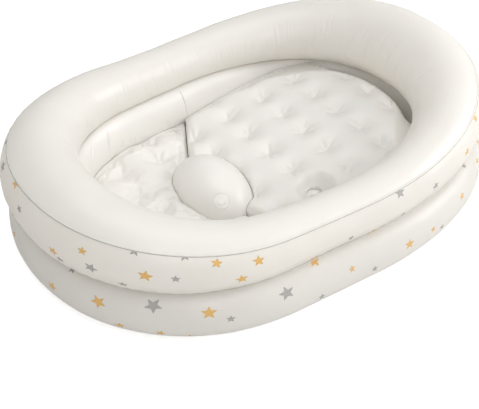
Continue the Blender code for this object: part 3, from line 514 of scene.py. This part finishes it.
# way along the wall, depth below the seam or the crease, diameter, all in
# millimetres, and the turn in degrees, for the stars of the near side
upper_gold = [(991.6, 3.5, 18, 10), (1086.7, 51, 16, 20), (1129.3, 23.4, 13, 0), (1204.2, 34.8, 19, 8),
              (1285.2, 10.9, 15, 12), (1335.8, 16.9, 17, 0), (1313.5, 41.8, 17, -8), (1424.0, 58, 20, 14),
              (1531.6, 60, 19, 12), (1730.0, 30.8, 14.5, 0), (1778.6, 8, 13, 20)]
upper_grey = [(1019.2, 27.8, 13, 30), (1140.1, 46, 18, 22), (1190.7, 1.5, 15, 4), (1248.1, 0.5, 15, -10),
              (1175.8, 64, 13, 0), (1237.9, 34.3, 12, 0), (1487.0, 43.2, 12, 20), (1579.5, 5.9, 18, 6),
              (1649.0, 34.3, 15, -12), (1586.2, 50.7, 11, 30), (1094.8, 62, 13, 0)]
lower_gold = [(1071.2, 47.4, 16, 15), (1142.1, 31.3, 21, 38), (1273.0, 30.5, 20, 2), (1424.2, 4, 20, 14),
              (1586.2, 48.7, 18, 8), (1478.9, 40.9, 12, 0), (1634.8, 49.9, 11, 0), (1712.5, 40.1, 14, 0),
              (1789.4, 31.8, 13, 0), (1168.4, 65, 13, 0), (1216.3, 68, 13, 20), (1249.4, 78, 14, 0)]
lower_grey = [(1094.8, 3, 13, 0), (1208.9, 19.5, 23, 33), (1297.3, 44.8, 12, 4), (1368.2, 29.5, 22, -8),
              (1521.4, 60.9, 12, 0), (1655.8, 59.9, 11, 0), (1754.3, 9.7, 11, 0), (1422.9, 66, 13, 0)]


def scatter(seen, room, seed):
    """Stars for the sides that the near ones leave bare, spaced as those are."""
    chance = np.random.default_rng(seed)
    placed = [(star[0], star[1]) for star in seen]
    made = []
    for trial in range(2600):
        place = chance.uniform(0, PERIMETER*1000)
        depth = chance.uniform(2, room)
        if NEAR_SIDE[0] < place < NEAR_SIDE[1]:
            continue
        if all(math.hypot(place - other[0], depth - other[1]) > STAR_ROOM for other in placed):
            placed.append((place, depth))
            size = chance.choice([11.0, 13.0, 16.0, 19.0, 21.0])
            made.append((place, depth, size, chance.uniform(-36, 36)))
    return made


def on_upper_sheet(way, depth):
    """Points just off the upper printed sheet, kept inside its edges."""
    radius, centre = upper_tube(shares(way))
    low = -np.arcsin((centre - CREASE_HEIGHT - FILM/2 - FILM_GAP)/radius) + 0.012
    angle = np.clip(SEAM_ANGLE - depth/radius, low, SEAM_ANGLE - 0.045)
    reach = radius + upper_stand(way, angle) + INK
    return place_on_wall(way, reach*np.cos(angle), centre + reach*np.sin(angle))


def on_lower_sheet(way, depth):
    """Points just off the lower printed sheet, kept inside its edges."""
    reach, height = lower_wall(way[:, None], shares(way)[:, None], -INK, 60, 40)
    run = np.hypot(np.diff(reach, axis=1), np.diff(height, axis=1))
    run = np.hstack([np.zeros((len(reach), 1)), np.cumsum(run, axis=1)])
    depth = np.clip(depth, 0.0012, run[:, -1] - 0.002)
    line = [(np.interp(part, along_run, r), np.interp(part, along_run, h))
            for part, along_run, r, h in zip(depth, run, reach, height)]
    return place_on_wall(way, np.array([point[0] for point in line]), np.array([point[1] for point in line]))


def star_print(name, stars, sheet, ink):
    """All the stars of one ink on one sheet, each a fan of small triangles on the surface."""
    flat = []
    faces = []
    for place, depth, size, turn in stars:
        corners = []
        for point in range(10):
            radius = size/2000*(1 if point % 2 == 0 else STAR_WAIST_SHARE)
            direction = math.radians(turn) + point*math.pi/5
            corners.append(np.array([radius*math.sin(direction), -radius*math.cos(direction)]))
        middle = np.array([place/1000, depth/1000])
        for first, second in zip(corners, corners[1:] + corners[:1]):
            start = len(flat)
            rows = [[first*(i - j)/4 + second*j/4 for j in range(i + 1)] for i in range(5)]
            flat += [middle + point for row in rows for point in row]
            for i in range(4):
                for j in range(i + 1):
                    a = start + i*(i + 1)//2 + j
                    b = a + i + 1
                    faces.append((a, b, b + 1))
                    if j < i:
                        faces.append((a, b + 1, a + 1))
    flat = np.array(flat)
    mesh = bpy.data.meshes.new(name)
    mesh.from_pydata(sheet(flat[:, 0], flat[:, 1]).tolist(), [], faces)
    mesh.materials.append(ink)
    built = bmesh.new()
    built.from_mesh(mesh)
    bmesh.ops.remove_doubles(built, verts=built.verts, dist=0.00002)
    bmesh.ops.recalc_face_normals(built, faces=built.faces)
    built.to_mesh(mesh)
    built.free()
    mesh.shade_smooth()
    add_piece(name, mesh)


# Gravure ink on PVC: a thin even coat, duller than the film, slightly mottled
# where the engraved cells of the roller leave more or less ink.
inks = {}
for name, light, dark in (("gold_gravure_ink", "DDB673", "D2A254"), ("grey_gravure_ink", "B0ACA9", "97938F")):
    ink, tree, shader, place = new_finish(name)
    # mottle 3 mm across: the real cells are 0.2 mm and too fine to show
    cells = add_node(tree, "ShaderNodeTexNoise", {"Scale": 330.0, "Detail": 2.0}, {"Vector": place})
    tone = add_node(tree, "ShaderNodeMix", {"data_type": "RGBA", 6: srgb(light), 7: srgb(dark)},
                    {"Factor": cells.outputs["Fac"]})
    tree.links.new(tone.outputs[2], shader.inputs["Base Color"])
    coat = add_node(tree, "ShaderNodeBump", {"Strength": 0.15, "Distance": 0.0002},
                    {"Height": cells.outputs["Fac"]})
    tree.links.new(coat.outputs["Normal"], shader.inputs["Normal"])
    shader.inputs["Roughness"].default_value = 0.42
    shader.inputs["IOR"].default_value = 1.5
    inks[name.split("_")[0]] = ink

# the far side's two valves stand where the wall is widest, and no star lies under them
valve_way = float(curve_way[curve_y.argmax()])*1000
upper_more = scatter(upper_gold + upper_grey + [(valve_way, 33.6)], 62, 5)
lower_more = scatter(lower_gold + lower_grey + [(valve_way, 57.0)], 74, 6)
star_print("upper_gold_stars", upper_gold + upper_more[::2], on_upper_sheet, inks["gold"])
star_print("upper_grey_stars", upper_grey + upper_more[1::2], on_upper_sheet, inks["grey"])
star_print("lower_gold_stars", lower_gold + lower_more[::2], on_lower_sheet, inks["gold"])
star_print("lower_grey_stars", lower_grey + lower_more[1::2], on_lower_sheet, inks["grey"])

# The flat sheet under the whole bath, welded to the lower ring and the floor.
dress(["base_sheet"], white_pvc)

# The quilted seat and foot: two sheets of film joined by a grid of round spot welds
# and blown up, so the top sheet domes between the welds and gathers in short
# pleats round each one. The seat is thick and rises to the head, the foot is thin.
TUFT_PITCH_X = 0.078
TUFT_PITCH_Y = 0.064
TUFT_OFFSET_X = 0.040
WELD_RADIUS = 0.0045
GATHERS = 6
PAD_MESH_SIZE = 0.0040
PAD_GROWTH = 0.05
PAD_MOST_MOVE = 0.007
PAD_WALL_GAP = 0.0008
PAD_EDGE_WIDTH = 0.014
PAD_EDGE_DROP = 0.002
PAD_HEAD_EDGE_WIDTH = 0.026
PAD_HEAD_EDGE_DROP = 0.014
SEAT_HEAD_GROOVE = 0.029
SEAT_FRONT_HEIGHT = 0.022
SEAT_SLOPE_SHARE = 0.165
SEAT_CROWN = 0.0185
SEAT_FRONT_SIDE_X = -0.013
SEAT_FRONT_MIDDLE_X = -0.108
SEAT_FRONT_BEND = 0.045
FOOT_HEIGHT = 0.010
FOOT_CROWN = 0.0135
HORN_X = -0.084
HORN_HALF_LENGTH = 0.0620
HORN_HALF_WIDTH = 0.0905
HORN_HEIGHT = 0.0685
HORN_ROOT = 0.007
HORN_RIM_SHARE = 0.85
DRAIN_X = -0.235
DRAIN_WELL_RADIUS = 0.0235

rim_way = np.linspace(0, PERIMETER, 1400, endpoint=False)
rim_groove = ease(shares(rim_way), UNDERCUT_START_SHARE, 1)
rim_reach = (-LOWER_IN_SIDE - (LOWER_IN_HEAD - LOWER_IN_SIDE)*rim_groove - PAD_WALL_GAP
             - SEAT_HEAD_GROOVE*rim_groove)
wall_rim = place_on_wall(rim_way, rim_reach, 0)[:, :2]
turns = np.linspace(0, 2*math.pi, 300, endpoint=False)
horn_rim = np.stack([HORN_X + HORN_HALF_LENGTH*HORN_RIM_SHARE*np.cos(turns),
                     HORN_HALF_WIDTH*HORN_RIM_SHARE*np.sin(turns)], axis=-1)
well_rim = np.stack([DRAIN_X + DRAIN_WELL_RADIUS*np.cos(turns), DRAIN_WELL_RADIUS*np.sin(turns)], axis=-1)
front_y = np.linspace(-HALF_WIDTH, HALF_WIDTH, 500)
front_span = math.hypot(HALF_WIDTH - LOWER_IN_SIDE, SEAT_FRONT_BEND) - SEAT_FRONT_BEND
front_rise = (SEAT_FRONT_SIDE_X - SEAT_FRONT_MIDDLE_X)/front_span
front_rim = np.stack([SEAT_FRONT_MIDDLE_X + front_rise*(np.hypot(front_y, SEAT_FRONT_BEND) - SEAT_FRONT_BEND),
                      front_y], axis=-1)


def rim_fall(x, y, rims):
    """How full a pad is near its rims, from 0 to 1, how far its rim drops, and the room to it."""
    outline = np.vstack(rims)
    head = ease(outline[:, 0]/HALF_LENGTH, UNDERCUT_START_SHARE, 1)
    width = PAD_EDGE_WIDTH + (PAD_HEAD_EDGE_WIDTH - PAD_EDGE_WIDTH)*head
    drop = PAD_EDGE_DROP + (PAD_HEAD_EDGE_DROP - PAD_EDGE_DROP)*head
    full = np.empty(len(x))
    fall = np.empty(len(x))
    room = np.empty(len(x))
    for first in range(0, len(x), 2000):
        part = slice(first, first + 2000)
        away = np.hypot(outline[None, :, 0] - x[part, None], outline[None, :, 1] - y[part, None])
        nearest = (away/width).argmin(axis=1)
        near = np.minimum((away/width).min(axis=1), 1)
        full[part] = np.sqrt(1 - (1 - near)**2)
        fall[part] = drop[nearest]*(1 - full[part])
        room[part] = away.min(axis=1)
    return full, fall, room


def beside_wall(x, y):
    """Each point's way along the plan curve and its reach outward from it."""
    way = np.empty(len(x))
    reach = np.empty(len(x))
    for first in range(0, len(x), 2000):
        part = slice(first, first + 2000)
        nearest = np.hypot(curve_x[None, :] - x[part, None], curve_y[None, :] - y[part, None]).argmin(axis=1)
        way[part] = curve_way[nearest]
        reach[part] = ((x[part] - curve_x[nearest])*normal_x[nearest]
                       + (y[part] - curve_y[nearest])*normal_y[nearest])
    return way, reach


def from_spot_weld(x, y):
    """Each point's offsets from the nearest spot weld of the grid."""
    return (x - TUFT_OFFSET_X - TUFT_PITCH_X*np.round((x - TUFT_OFFSET_X)/TUFT_PITCH_X),
            y - TUFT_PITCH_Y*np.round(y/TUFT_PITCH_Y))


def mesh_points(mesh):
    """The points of a mesh and the directions that they face."""
    points = np.empty(len(mesh.vertices)*3)
    mesh.vertices.foreach_get("co", points)
    facing = np.empty(len(mesh.vertices)*3)
    mesh.vertex_normals.foreach_get("vector", facing)
    return points.reshape(-1, 3), facing.reshape(-1, 3)


def applied(piece):
    """The mesh that a piece has with its modifiers, which are then taken off."""
    mesh = bpy.data.meshes.new_from_object(piece.evaluated_get(bpy.context.evaluated_depsgraph_get()))
    piece.modifiers.clear()
    return mesh


def blown_pad(name, node, rims, front_height, slope, crown, rim_full, keep_clear, seed):
    """A quilted pad from its plain solid: even mesh, smooth domes, then the cloth gathers.

    rim_full says how full the pad is at the wall, and keep_clear is the place that
    stays flat, with its height where the pad dips to it.
    """
    scene = bpy.context.scene
    pad = bpy.data.objects.new(name, solids[node].data.copy())
    scene.collection.objects.link(pad)
    even = pad.modifiers.new("even_mesh", "REMESH")
    even.mode = "VOXEL"
    even.voxel_size = PAD_MESH_SIZE
    mesh = applied(pad)
    pad.data = mesh
    points, facing = mesh_points(mesh)
    x, y = points[:, 0], points[:, 1]
    off_x, off_y = from_spot_weld(x, y)
    from_weld = np.hypot(off_x, off_y)
    way, reach = beside_wall(x, y)
    share = shares(way)
    # the wall holds the rim up, but for the head, where the pad falls into its groove
    open_rim = ease(share, 0.76, 0.93)
    full, fall, room = rim_fall(x, y, rims)
    groove = ease(share, UNDERCUT_START_SHARE, 1)
    straight = -(LOWER_IN_SIDE + (LOWER_IN_HEAD - LOWER_IN_SIDE)*groove + PAD_WALL_GAP
                 + SEAT_HEAD_GROOVE*groove)
    wall_full, wall_fall, wall_room = rim_fall(x, y, [wall_rim])
    wall_full[reach > straight] = 0
    wall_room[reach > straight] = 0
    room = np.minimum(room, wall_room)
    soft = ease(wall_room, 0.0005, 0.026)
    soft += rim_full*(1 - soft)
    full = full*(soft + (wall_full - soft)*open_rim)
    # film held at a point rises steeply from it and then flattens out
    pits = np.zeros(len(x))
    for step_x in (-1, 0, 1):
        for step_y in (-1, 0, 1):
            away = np.hypot(off_x + step_x*TUFT_PITCH_X, off_y + step_y*TUFT_PITCH_Y)
            pits += 0.42*np.exp(-away/0.0075) + 0.58*np.exp(-(away/0.023)**2)
    quilt = np.clip(1.03 - pits, 0, None)
    quilt += (0.74 - quilt)*(1 - ease(wall_room, 0.004, 0.032))*(0.4 + 0.6*open_rim)
    line = front_height + slope*(x - TUFT_OFFSET_X + TUFT_PITCH_X)
    smooth_height = line + crown*quilt*full - fall - wall_fall*open_rim
    from_valve = np.hypot(x - keep_clear[0], y - keep_clear[1])
    if len(keep_clear) == 3:
        smooth_height = keep_clear[2] + (smooth_height - keep_clear[2])*ease(from_valve, 0.0135, 0.038)
    clear = from_valve < 0.0145
    top = (facing[:, 2] > 0.3) & ~clear
    lowered = np.where(clear, points[:, 2], np.minimum(points[:, 2], smooth_height))
    points[:, 2] = np.where(top, smooth_height, lowered)
    # the rim swells out until it rests on the wall
    wall = inner_wall(share, points[:, 2])
    plain = np.where(points[:, 2] > BELLY_HEIGHT, straight,
                     wall - PAD_WALL_GAP + (straight - wall + PAD_WALL_GAP)*groove)
    near = 1 - np.clip((straight - reach)/0.020, 0, 1)
    slack = np.clip(wall - 0.0006 - plain, 0, None)
    swollen = near**1.5*(1 - open_rim)*slack*ease(points[:, 2], 0.003, 0.012)
    points[:, 0] += np.interp(way, curve_way, normal_x)*swollen
    points[:, 1] += np.interp(way, curve_way, normal_y)*swollen
    mesh.vertices.foreach_set("co", points.ravel())
    mesh.update()
    held = ~top | (from_weld < WELD_RADIUS) | (room < 0.004)
    group = pad.vertex_groups.new(name="held")
    group.add([int(index) for index in np.flatnonzero(held)], 1.0, "REPLACE")
    film = pad.modifiers.new("film", "CLOTH")
    film.settings.quality = 6
    film.settings.mass = 0.15
    film.settings.tension_stiffness = 30
    film.settings.compression_stiffness = 30
    film.settings.shear_stiffness = 12
    film.settings.bending_stiffness = 0.04
    film.settings.air_damping = 4
    film.settings.shrink_min = -PAD_GROWTH
    film.settings.shrink_max = -PAD_GROWTH
    film.settings.use_pressure = True
    film.settings.uniform_pressure_force = 3.0
    film.settings.vertex_group_mass = "held"
    film.settings.effector_weights.gravity = 0
    film.collision_settings.use_collision = False
    film.point_cache.frame_start = 1
    film.point_cache.frame_end = 22
    for number in range(1, 21):
        scene.frame_set(number)
    move = mesh_points(applied(pad))[0] - points
    length = np.maximum(np.linalg.norm(move, axis=1), 1e-9)
    move *= (np.minimum(length, PAD_MOST_MOVE)/length)[:, None]
    mesh.vertices.foreach_set("co", (points + move).ravel())
    mesh.update()
    scene.frame_set(1)
    finer = pad.modifiers.new("finer", "SUBSURF")
    finer.levels = 1
    finer.render_levels = 1
    mesh = applied(pad)
    pad.vertex_groups.clear()
    pad.data = mesh
    gather(mesh, rims, keep_clear, seed)
    mesh.materials.clear()
    mesh.materials.append(heavy_pvc)
    mesh.shade_smooth()
    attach(pad, "tub")
    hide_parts(node)
    return pad


# place, middle, length, depth, width and lean of the pleats that run in from the wall
RIM_PLEATS = 150
rim_pleats = []
for step in range(RIM_PLEATS):
    home = PERIMETER*1000*(step + seeded.uniform(-0.45, 0.45))/RIM_PLEATS
    bend = 0.25 + 0.9*math.exp(-((float(shares(np.array(home/1000))) - 0.66)/0.22)**2)
    rim_pleats.append((home, seeded.uniform(8, 22), seeded.uniform(26, 60), seeded.uniform(0.2, 1.5)*bend,
                       seeded.uniform(1.5, 2.8), seeded.uniform(-0.12, 0.12)))


def gather(mesh, rims, keep_clear, seed):
    """Short pleats that run out from every spot weld, each weld with its own set."""
    points, facing = mesh_points(mesh)
    x, y = points[:, 0], points[:, 1]
    off_x, off_y = from_spot_weld(x, y)
    from_weld = np.hypot(off_x, off_y)
    room = rim_fall(x, y, rims)[2]
    around = np.arctan2(off_y, off_x)
    cell_x = np.round((x - off_x - TUFT_OFFSET_X)/TUFT_PITCH_X).astype(int)
    cell_y = np.round((y - off_y)/TUFT_PITCH_Y).astype(int)
    chance = np.random.default_rng(seed)
    stand = np.zeros(len(points))
    for column in range(cell_x.min(), cell_x.max() + 1):
        for row in range(cell_y.min(), cell_y.max() + 1):
            mine = (cell_x == column) & (cell_y == row)
            for pleat in range(GATHERS):
                heading = 2*math.pi*(pleat + chance.uniform(-0.35, 0.35))/GATHERS
                reach = chance.uniform(0.016, 0.034)
                depth = chance.uniform(0.0004, 0.0021)
                aside = np.abs((around[mine] - heading + math.pi) % (2*math.pi) - math.pi)*from_weld[mine]
                width = 0.0020 + 0.09*from_weld[mine]
                fade = ease(from_weld[mine], 0.002, 0.007)*(1 - ease(from_weld[mine], 0.4*reach, reach))
                fold = np.exp(-(aside/width)**2) - 0.5*np.exp(-((aside/width - 1.9)/1.1)**2)
                stand[mine] -= depth*fade*fold
    clear = np.hypot(x - keep_clear[0], y - keep_clear[1]) < 0.0165
    top = np.where(clear, 0, ease(facing[:, 2], 0.25, 0.6))*ease(room, 0.003, 0.010)
    way, reach = beside_wall(x, y)
    from_wall = inner_wall(shares(way), points[:, 2]) - reach
    side_top = np.where(clear, 0, ease(facing[:, 2], 0.1, 0.5))*ease(from_wall, 0.0015, 0.006)
    gathered = pleats(way, from_wall, rim_pleats)
    points += facing*(stand*top + gathered*side_top)[:, None]
    # the film rests on the wall and goes no further
    way, reach = beside_wall(x, y)
    over = np.clip(reach - inner_wall(shares(way), points[:, 2]) + 0.0007, 0, None)
    over = over*ease(points[:, 2], 0.002, 0.006)
    points[:, 0] -= np.interp(way, curve_way, normal_x)*over
    points[:, 1] -= np.interp(way, curve_way, normal_y)*over
    # and so it does round the horn
    rise = np.clip((points[:, 2] - HORN_ROOT)/(HORN_HEIGHT - HORN_ROOT), 0, 0.98)
    away = np.hypot((points[:, 0] - HORN_X)/HORN_HALF_LENGTH, points[:, 1]/HORN_HALF_WIDTH)
    away = away/np.sqrt(1 - rise**2)
    beside = np.clip(1 - (away - 1)*HORN_HALF_LENGTH/0.004, 0, 1)*ease(points[:, 2], 0.008, 0.012)
    pulled = 1 + ((1 + 0.0006/HORN_HALF_LENGTH)/away - 1)*beside
    points[:, 0] = HORN_X + (points[:, 0] - HORN_X)*pulled
    points[:, 1] *= pulled
    mesh.vertices.foreach_set("co", points.ravel())
    mesh.update()


floor_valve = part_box("floor_valve_flange")
valve_place = ((floor_valve[0][0] + floor_valve[1][0])/2, (floor_valve[0][1] + floor_valve[1][1])/2, 0.0312)
seat = blown_pad("quilted_seat", "seat_pad", [horn_rim, front_rim], SEAT_FRONT_HEIGHT, SEAT_SLOPE_SHARE,
                 SEAT_CROWN, 0, valve_place, 21)
foot = blown_pad("quilted_foot", "foot_pad", [horn_rim, front_rim, well_rim], FOOT_HEIGHT, 0,
                 FOOT_CROWN, 0.8, (DRAIN_X, 0), 22)

# The saddle horn: a pouch of the same film, welded down round its foot by a narrow
# flange and blown up on its own, so it is tight and smooth on top and gathers in
# fine puckers where its round shell meets the flat weld.
HORN_AROUND = 240
HORN_RISE = 44
HORN_PUCKERS = 46

horn_turn = np.linspace(0, 2*math.pi, HORN_AROUND, endpoint=False)[None, :]
rise = np.concatenate([np.zeros(1), np.linspace(0, math.pi/2, HORN_RISE)[:-1]])[:, None]
horn_scale = np.cos(rise)*np.ones_like(horn_turn)
horn_height = HORN_ROOT + (HORN_HEIGHT - HORN_ROOT)*np.sin(rise) + 0*horn_turn
horn_height[0] = FILM + FILM_GAP
puckers = np.zeros_like(horn_height)
for step in range(HORN_PUCKERS):
    heading = 2*math.pi*(step + seeded.uniform(-0.35, 0.35))/HORN_PUCKERS
    aside = (horn_turn - heading + math.pi) % (2*math.pi) - math.pi
    near = aside/seeded.uniform(0.018, 0.034)
    fade = np.exp(-np.clip(horn_height - HORN_ROOT, 0, None)/seeded.uniform(0.006, 0.016))
    fold = np.exp(-near**2) - 0.4*np.exp(-((np.abs(near) - 1.9)/1.1)**2)
    puckers -= seeded.uniform(0.0002, 0.0009)*fade*fold
puckers *= ease(horn_height, 0.0015, 0.006)
horn_scale_x = HORN_HALF_LENGTH*horn_scale + puckers
horn_scale_y = HORN_HALF_WIDTH*horn_scale + puckers
rings = np.stack([HORN_X + horn_scale_x*np.cos(horn_turn), horn_scale_y*np.sin(horn_turn), horn_height],
                 axis=-1)
horn_points = rings.reshape(-1, 3).tolist() + [(HORN_X, 0, HORN_HEIGHT), (HORN_X, 0, FILM + FILM_GAP)]
horn_faces = []
for ring in range(HORN_RISE - 1):
    for spot in range(HORN_AROUND):
        after = (spot + 1) % HORN_AROUND
        low, high = ring*HORN_AROUND, (ring + 1)*HORN_AROUND
        horn_faces.append((low + spot, low + after, high + after, high + spot))
crest = (HORN_RISE - 1)*HORN_AROUND
for spot in range(HORN_AROUND):
    after = (spot + 1) % HORN_AROUND
    horn_faces.append((crest + spot, crest + after, HORN_RISE*HORN_AROUND))
    horn_faces.append((after, spot, HORN_RISE*HORN_AROUND + 1))
horn_mesh = bpy.data.meshes.new("blown_horn")
horn_mesh.from_pydata(horn_points, [], horn_faces)
horn_mesh.materials.append(heavy_pvc)
horn_mesh.shade_smooth()
horn = add_piece("blown_horn", horn_mesh, "saddle_horn")
# the weld round its foot
dress(["horn_flange"], pressed_weld)

# The four air valves. Each is moulded in soft clear PVC: a flange welded on the
# sheet, a stem that pushes in flush, a cap on a strap, and a flap that holds the air.
# The sheet is cut round under each flange, and there is room behind it for the stem.
FLANGE_RADIUS = 0.0133
POCKET_RADIUS = 0.0085
POCKET_DEPTH = 0.0252
PUNCH_STEPS = 64
# the middle of each flange and the direction that it faces
valve_homes = {"upper": ((0.03085, 0.2972, 0.11162), (-0.02521, 0.99968, 0)),
               "lower": ((0.03031, 0.31839, 0.035), (-0.02521, 0.99968, 0)),
               "floor": ((0.04, -0.128, 0.03112), (0, 0, 1)),
               "horn": ((-0.10543, -0.06025, 0.0437), (-0.41988, -0.53742, 0.73135))}
seated_in = {"upper": (upper_ring, upper_band), "lower": (lower_ring, lower_band),
             "floor": (seat,), "horn": (horn,)}
for sheet, lap in ((upper_ring, upper_lap), (lower_ring, lower_lap)):
    sheet.data.materials.append(lap_pvc)
    sheet.data.polygons.foreach_set("material_index", lap.ravel().astype(np.int32))
for valve, (home, outward) in valve_homes.items():
    profile = [(POCKET_RADIUS, -POCKET_DEPTH), (POCKET_RADIUS, 0), (FLANGE_RADIUS, 0), (FLANGE_RADIUS, 0.012)]
    built = bmesh.new()
    turns = np.linspace(0, 2*math.pi, PUNCH_STEPS, endpoint=False).tolist()
    loops = [[built.verts.new((radius*math.cos(turn), radius*math.sin(turn), rise)) for turn in turns]
             for radius, rise in profile]
    for loop, after in zip(loops, loops[1:]):
        for index in range(PUNCH_STEPS):
            step = (index + 1) % PUNCH_STEPS
            built.faces.new((loop[index], loop[step], after[step], after[index]))
    built.faces.new(loops[0])
    built.faces.new(loops[-1])
    bmesh.ops.recalc_face_normals(built, faces=built.faces)
    punch_mesh = bpy.data.meshes.new("valve_punch")
    built.to_mesh(punch_mesh)
    built.free()
    punch = bpy.data.objects.new("valve_punch", punch_mesh)
    bpy.context.scene.collection.objects.link(punch)
    punch.rotation_euler = Vector(outward).to_track_quat("Z", "Y").to_euler()
    punch.location = home
    for sheet in seated_in[valve]:
        cut = sheet.modifiers.new("valve_seat", "BOOLEAN")
        cut.operation = "DIFFERENCE"
        cut.solver = "EXACT"
        cut.object = punch
        bpy.context.view_layer.update()
        seated = applied(sheet)
        # the cut leaves slivers along its edge
        trimmed = bmesh.new()
        trimmed.from_mesh(seated)
        bmesh.ops.remove_doubles(trimmed, verts=trimmed.verts, dist=0.00003)
        bmesh.ops.dissolve_degenerate(trimmed, edges=trimmed.edges, dist=0.00003)
        trimmed.to_mesh(seated)
        trimmed.free()
        sheet.data = seated
        seated.shade_smooth()
        seated.set_sharp_from_angle(angle=math.radians(55))
    bpy.data.objects.remove(punch)

# Clear soft PVC, injection moulded: milky with stabiliser, glossy where it touched
# the polished mould, and light goes a millimetre or two into it.
moulded_pvc, tree, shader, place = new_finish("milky_moulded_pvc")
# flow clouds about 6 mm across, from the melt filling the mould
cloud = add_node(tree, "ShaderNodeTexNoise", {"Scale": 160.0, "Detail": 2.0}, {"Vector": place})
tone = add_node(tree, "ShaderNodeMix", {"data_type": "RGBA", 6: srgb("F3F1EB"), 7: srgb("EEECE6")},
                {"Factor": cloud.outputs["Fac"]})
tree.links.new(tone.outputs[2], shader.inputs["Base Color"])
polish = add_node(tree, "ShaderNodeMapRange", {"To Min": 0.18, "To Max": 0.30},
                  {"Value": cloud.outputs["Fac"]})
tree.links.new(polish.outputs["Result"], shader.inputs["Roughness"])
sink_marks = add_node(tree, "ShaderNodeBump", {"Strength": 0.2, "Distance": 0.0002},
                      {"Height": cloud.outputs["Fac"]})
tree.links.new(sink_marks.outputs["Normal"], shader.inputs["Normal"])
shader.inputs["IOR"].default_value = 1.53
shader.inputs["Subsurface Weight"].default_value = 0.15
shader.inputs["Subsurface Radius"].default_value = (0.003, 0.003, 0.0028)
shader.inputs["Subsurface Scale"].default_value = 1.0
for valve in valve_homes:
    dress([f"{valve}_{part}" for part in ("valve_flange", "valve_stem", "valve_cap", "check_flap")],
          moulded_pvc)

# The drain: a moulded ring welded over a hole in the base, and its plug on a strap,
# both in the same milky PVC as the valves.
dress(["drain_seat", "drain_plug"], moulded_pvc)

# The studio: a white floor that keeps the shadow, a large soft lamp at the right,
# weaker ones beside the viewer and overhead, and a pale room.
floor_mesh = bpy.data.meshes.new("studio_floor")
floor_corners = [(6*side, 6*end, -0.0005) for side, end in ((-1, -1), (1, -1), (1, 1), (-1, 1))]
floor_mesh.from_pydata(floor_corners, [], [(0, 1, 2, 3)])
floor = bpy.data.objects.new("studio_floor", floor_mesh)
bpy.context.scene.collection.objects.link(floor)
floor_white = bpy.data.materials.new("studio_floor_white")
floor_white.use_nodes = True
tree = floor_white.node_tree
shader = tree.nodes["Principled BSDF"]
shader.inputs["Base Color"].default_value = srgb("F4F4F4")
shader.inputs["Roughness"].default_value = 0.8
shader.inputs["Specular IOR Level"].default_value = 0.1
seen = add_node(tree, "ShaderNodeLightPath").outputs["Is Camera Ray"]
glow = add_node(tree, "ShaderNodeMath", {"operation": "MULTIPLY", 1: 0.5}, {0: seen})
shader.inputs["Emission Color"].default_value = srgb("FFFFFF")
tree.links.new(glow.outputs[0], shader.inputs["Emission Strength"])
floor_mesh.materials.append(floor_white)

world = bpy.data.worlds.new("pale_room")
bpy.context.scene.world = world
world.use_nodes = True
tree = world.node_tree
tree.nodes.clear()
path = add_node(tree, "ShaderNodeLightPath")
glossy = add_node(tree, "ShaderNodeMath", {"operation": "MAXIMUM"},
                  {0: path.outputs["Is Camera Ray"], 1: path.outputs["Is Glossy Ray"]})
seen = add_node(tree, "ShaderNodeMath", {"operation": "MAXIMUM"},
                {0: glossy.outputs[0], 1: path.outputs["Is Transmission Ray"]}).outputs[0]
light = add_node(tree, "ShaderNodeBackground", {"Color": srgb("F7F7F8"), "Strength": 0.50})
white = add_node(tree, "ShaderNodeBackground", {"Color": srgb("FFFFFF"), "Strength": 1.0})
mixed = add_node(tree, "ShaderNodeMixShader", {}, {0: seen, 1: light.outputs[0], 2: white.outputs[0]})
add_node(tree, "ShaderNodeOutputWorld", {}, {"Surface": mixed.outputs[0]})

for name, place, size, power in (("right_softbox", (2.0, -1.3, 1.2), 1.7, 40),
                                 ("front_softbox", (-0.9, -1.5, 1.35), 1.3, 11),
                                 ("top_softbox", (0.1, 0.2, 2.4), 2.2, 17)):
    lamp_data = bpy.data.lights.new(name, "AREA")
    lamp_data.shape = "DISK"
    lamp_data.size = size
    lamp_data.energy = power
    lamp = bpy.data.objects.new(name, lamp_data)
    lamp.location = place
    lamp.rotation_euler = (Vector((0.05, 0, 0.08)) - Vector(place)).to_track_quat("-Z", "Y").to_euler()
    bpy.context.scene.collection.objects.link(lamp)

camera_data = bpy.data.cameras.new("camera")
camera_data.lens = 60.10
camera_data.sensor_width = 36
camera = bpy.data.objects.new("camera", camera_data)
camera.location = (-0.6595, -0.8994, 0.9210)
camera.rotation_euler = tuple(math.radians(part) for part in (48.634, 0.468, -35.545))
bpy.context.scene.collection.objects.link(camera)
bpy.context.scene.camera = camera
bpy.context.scene.view_settings.view_transform = "Standard"
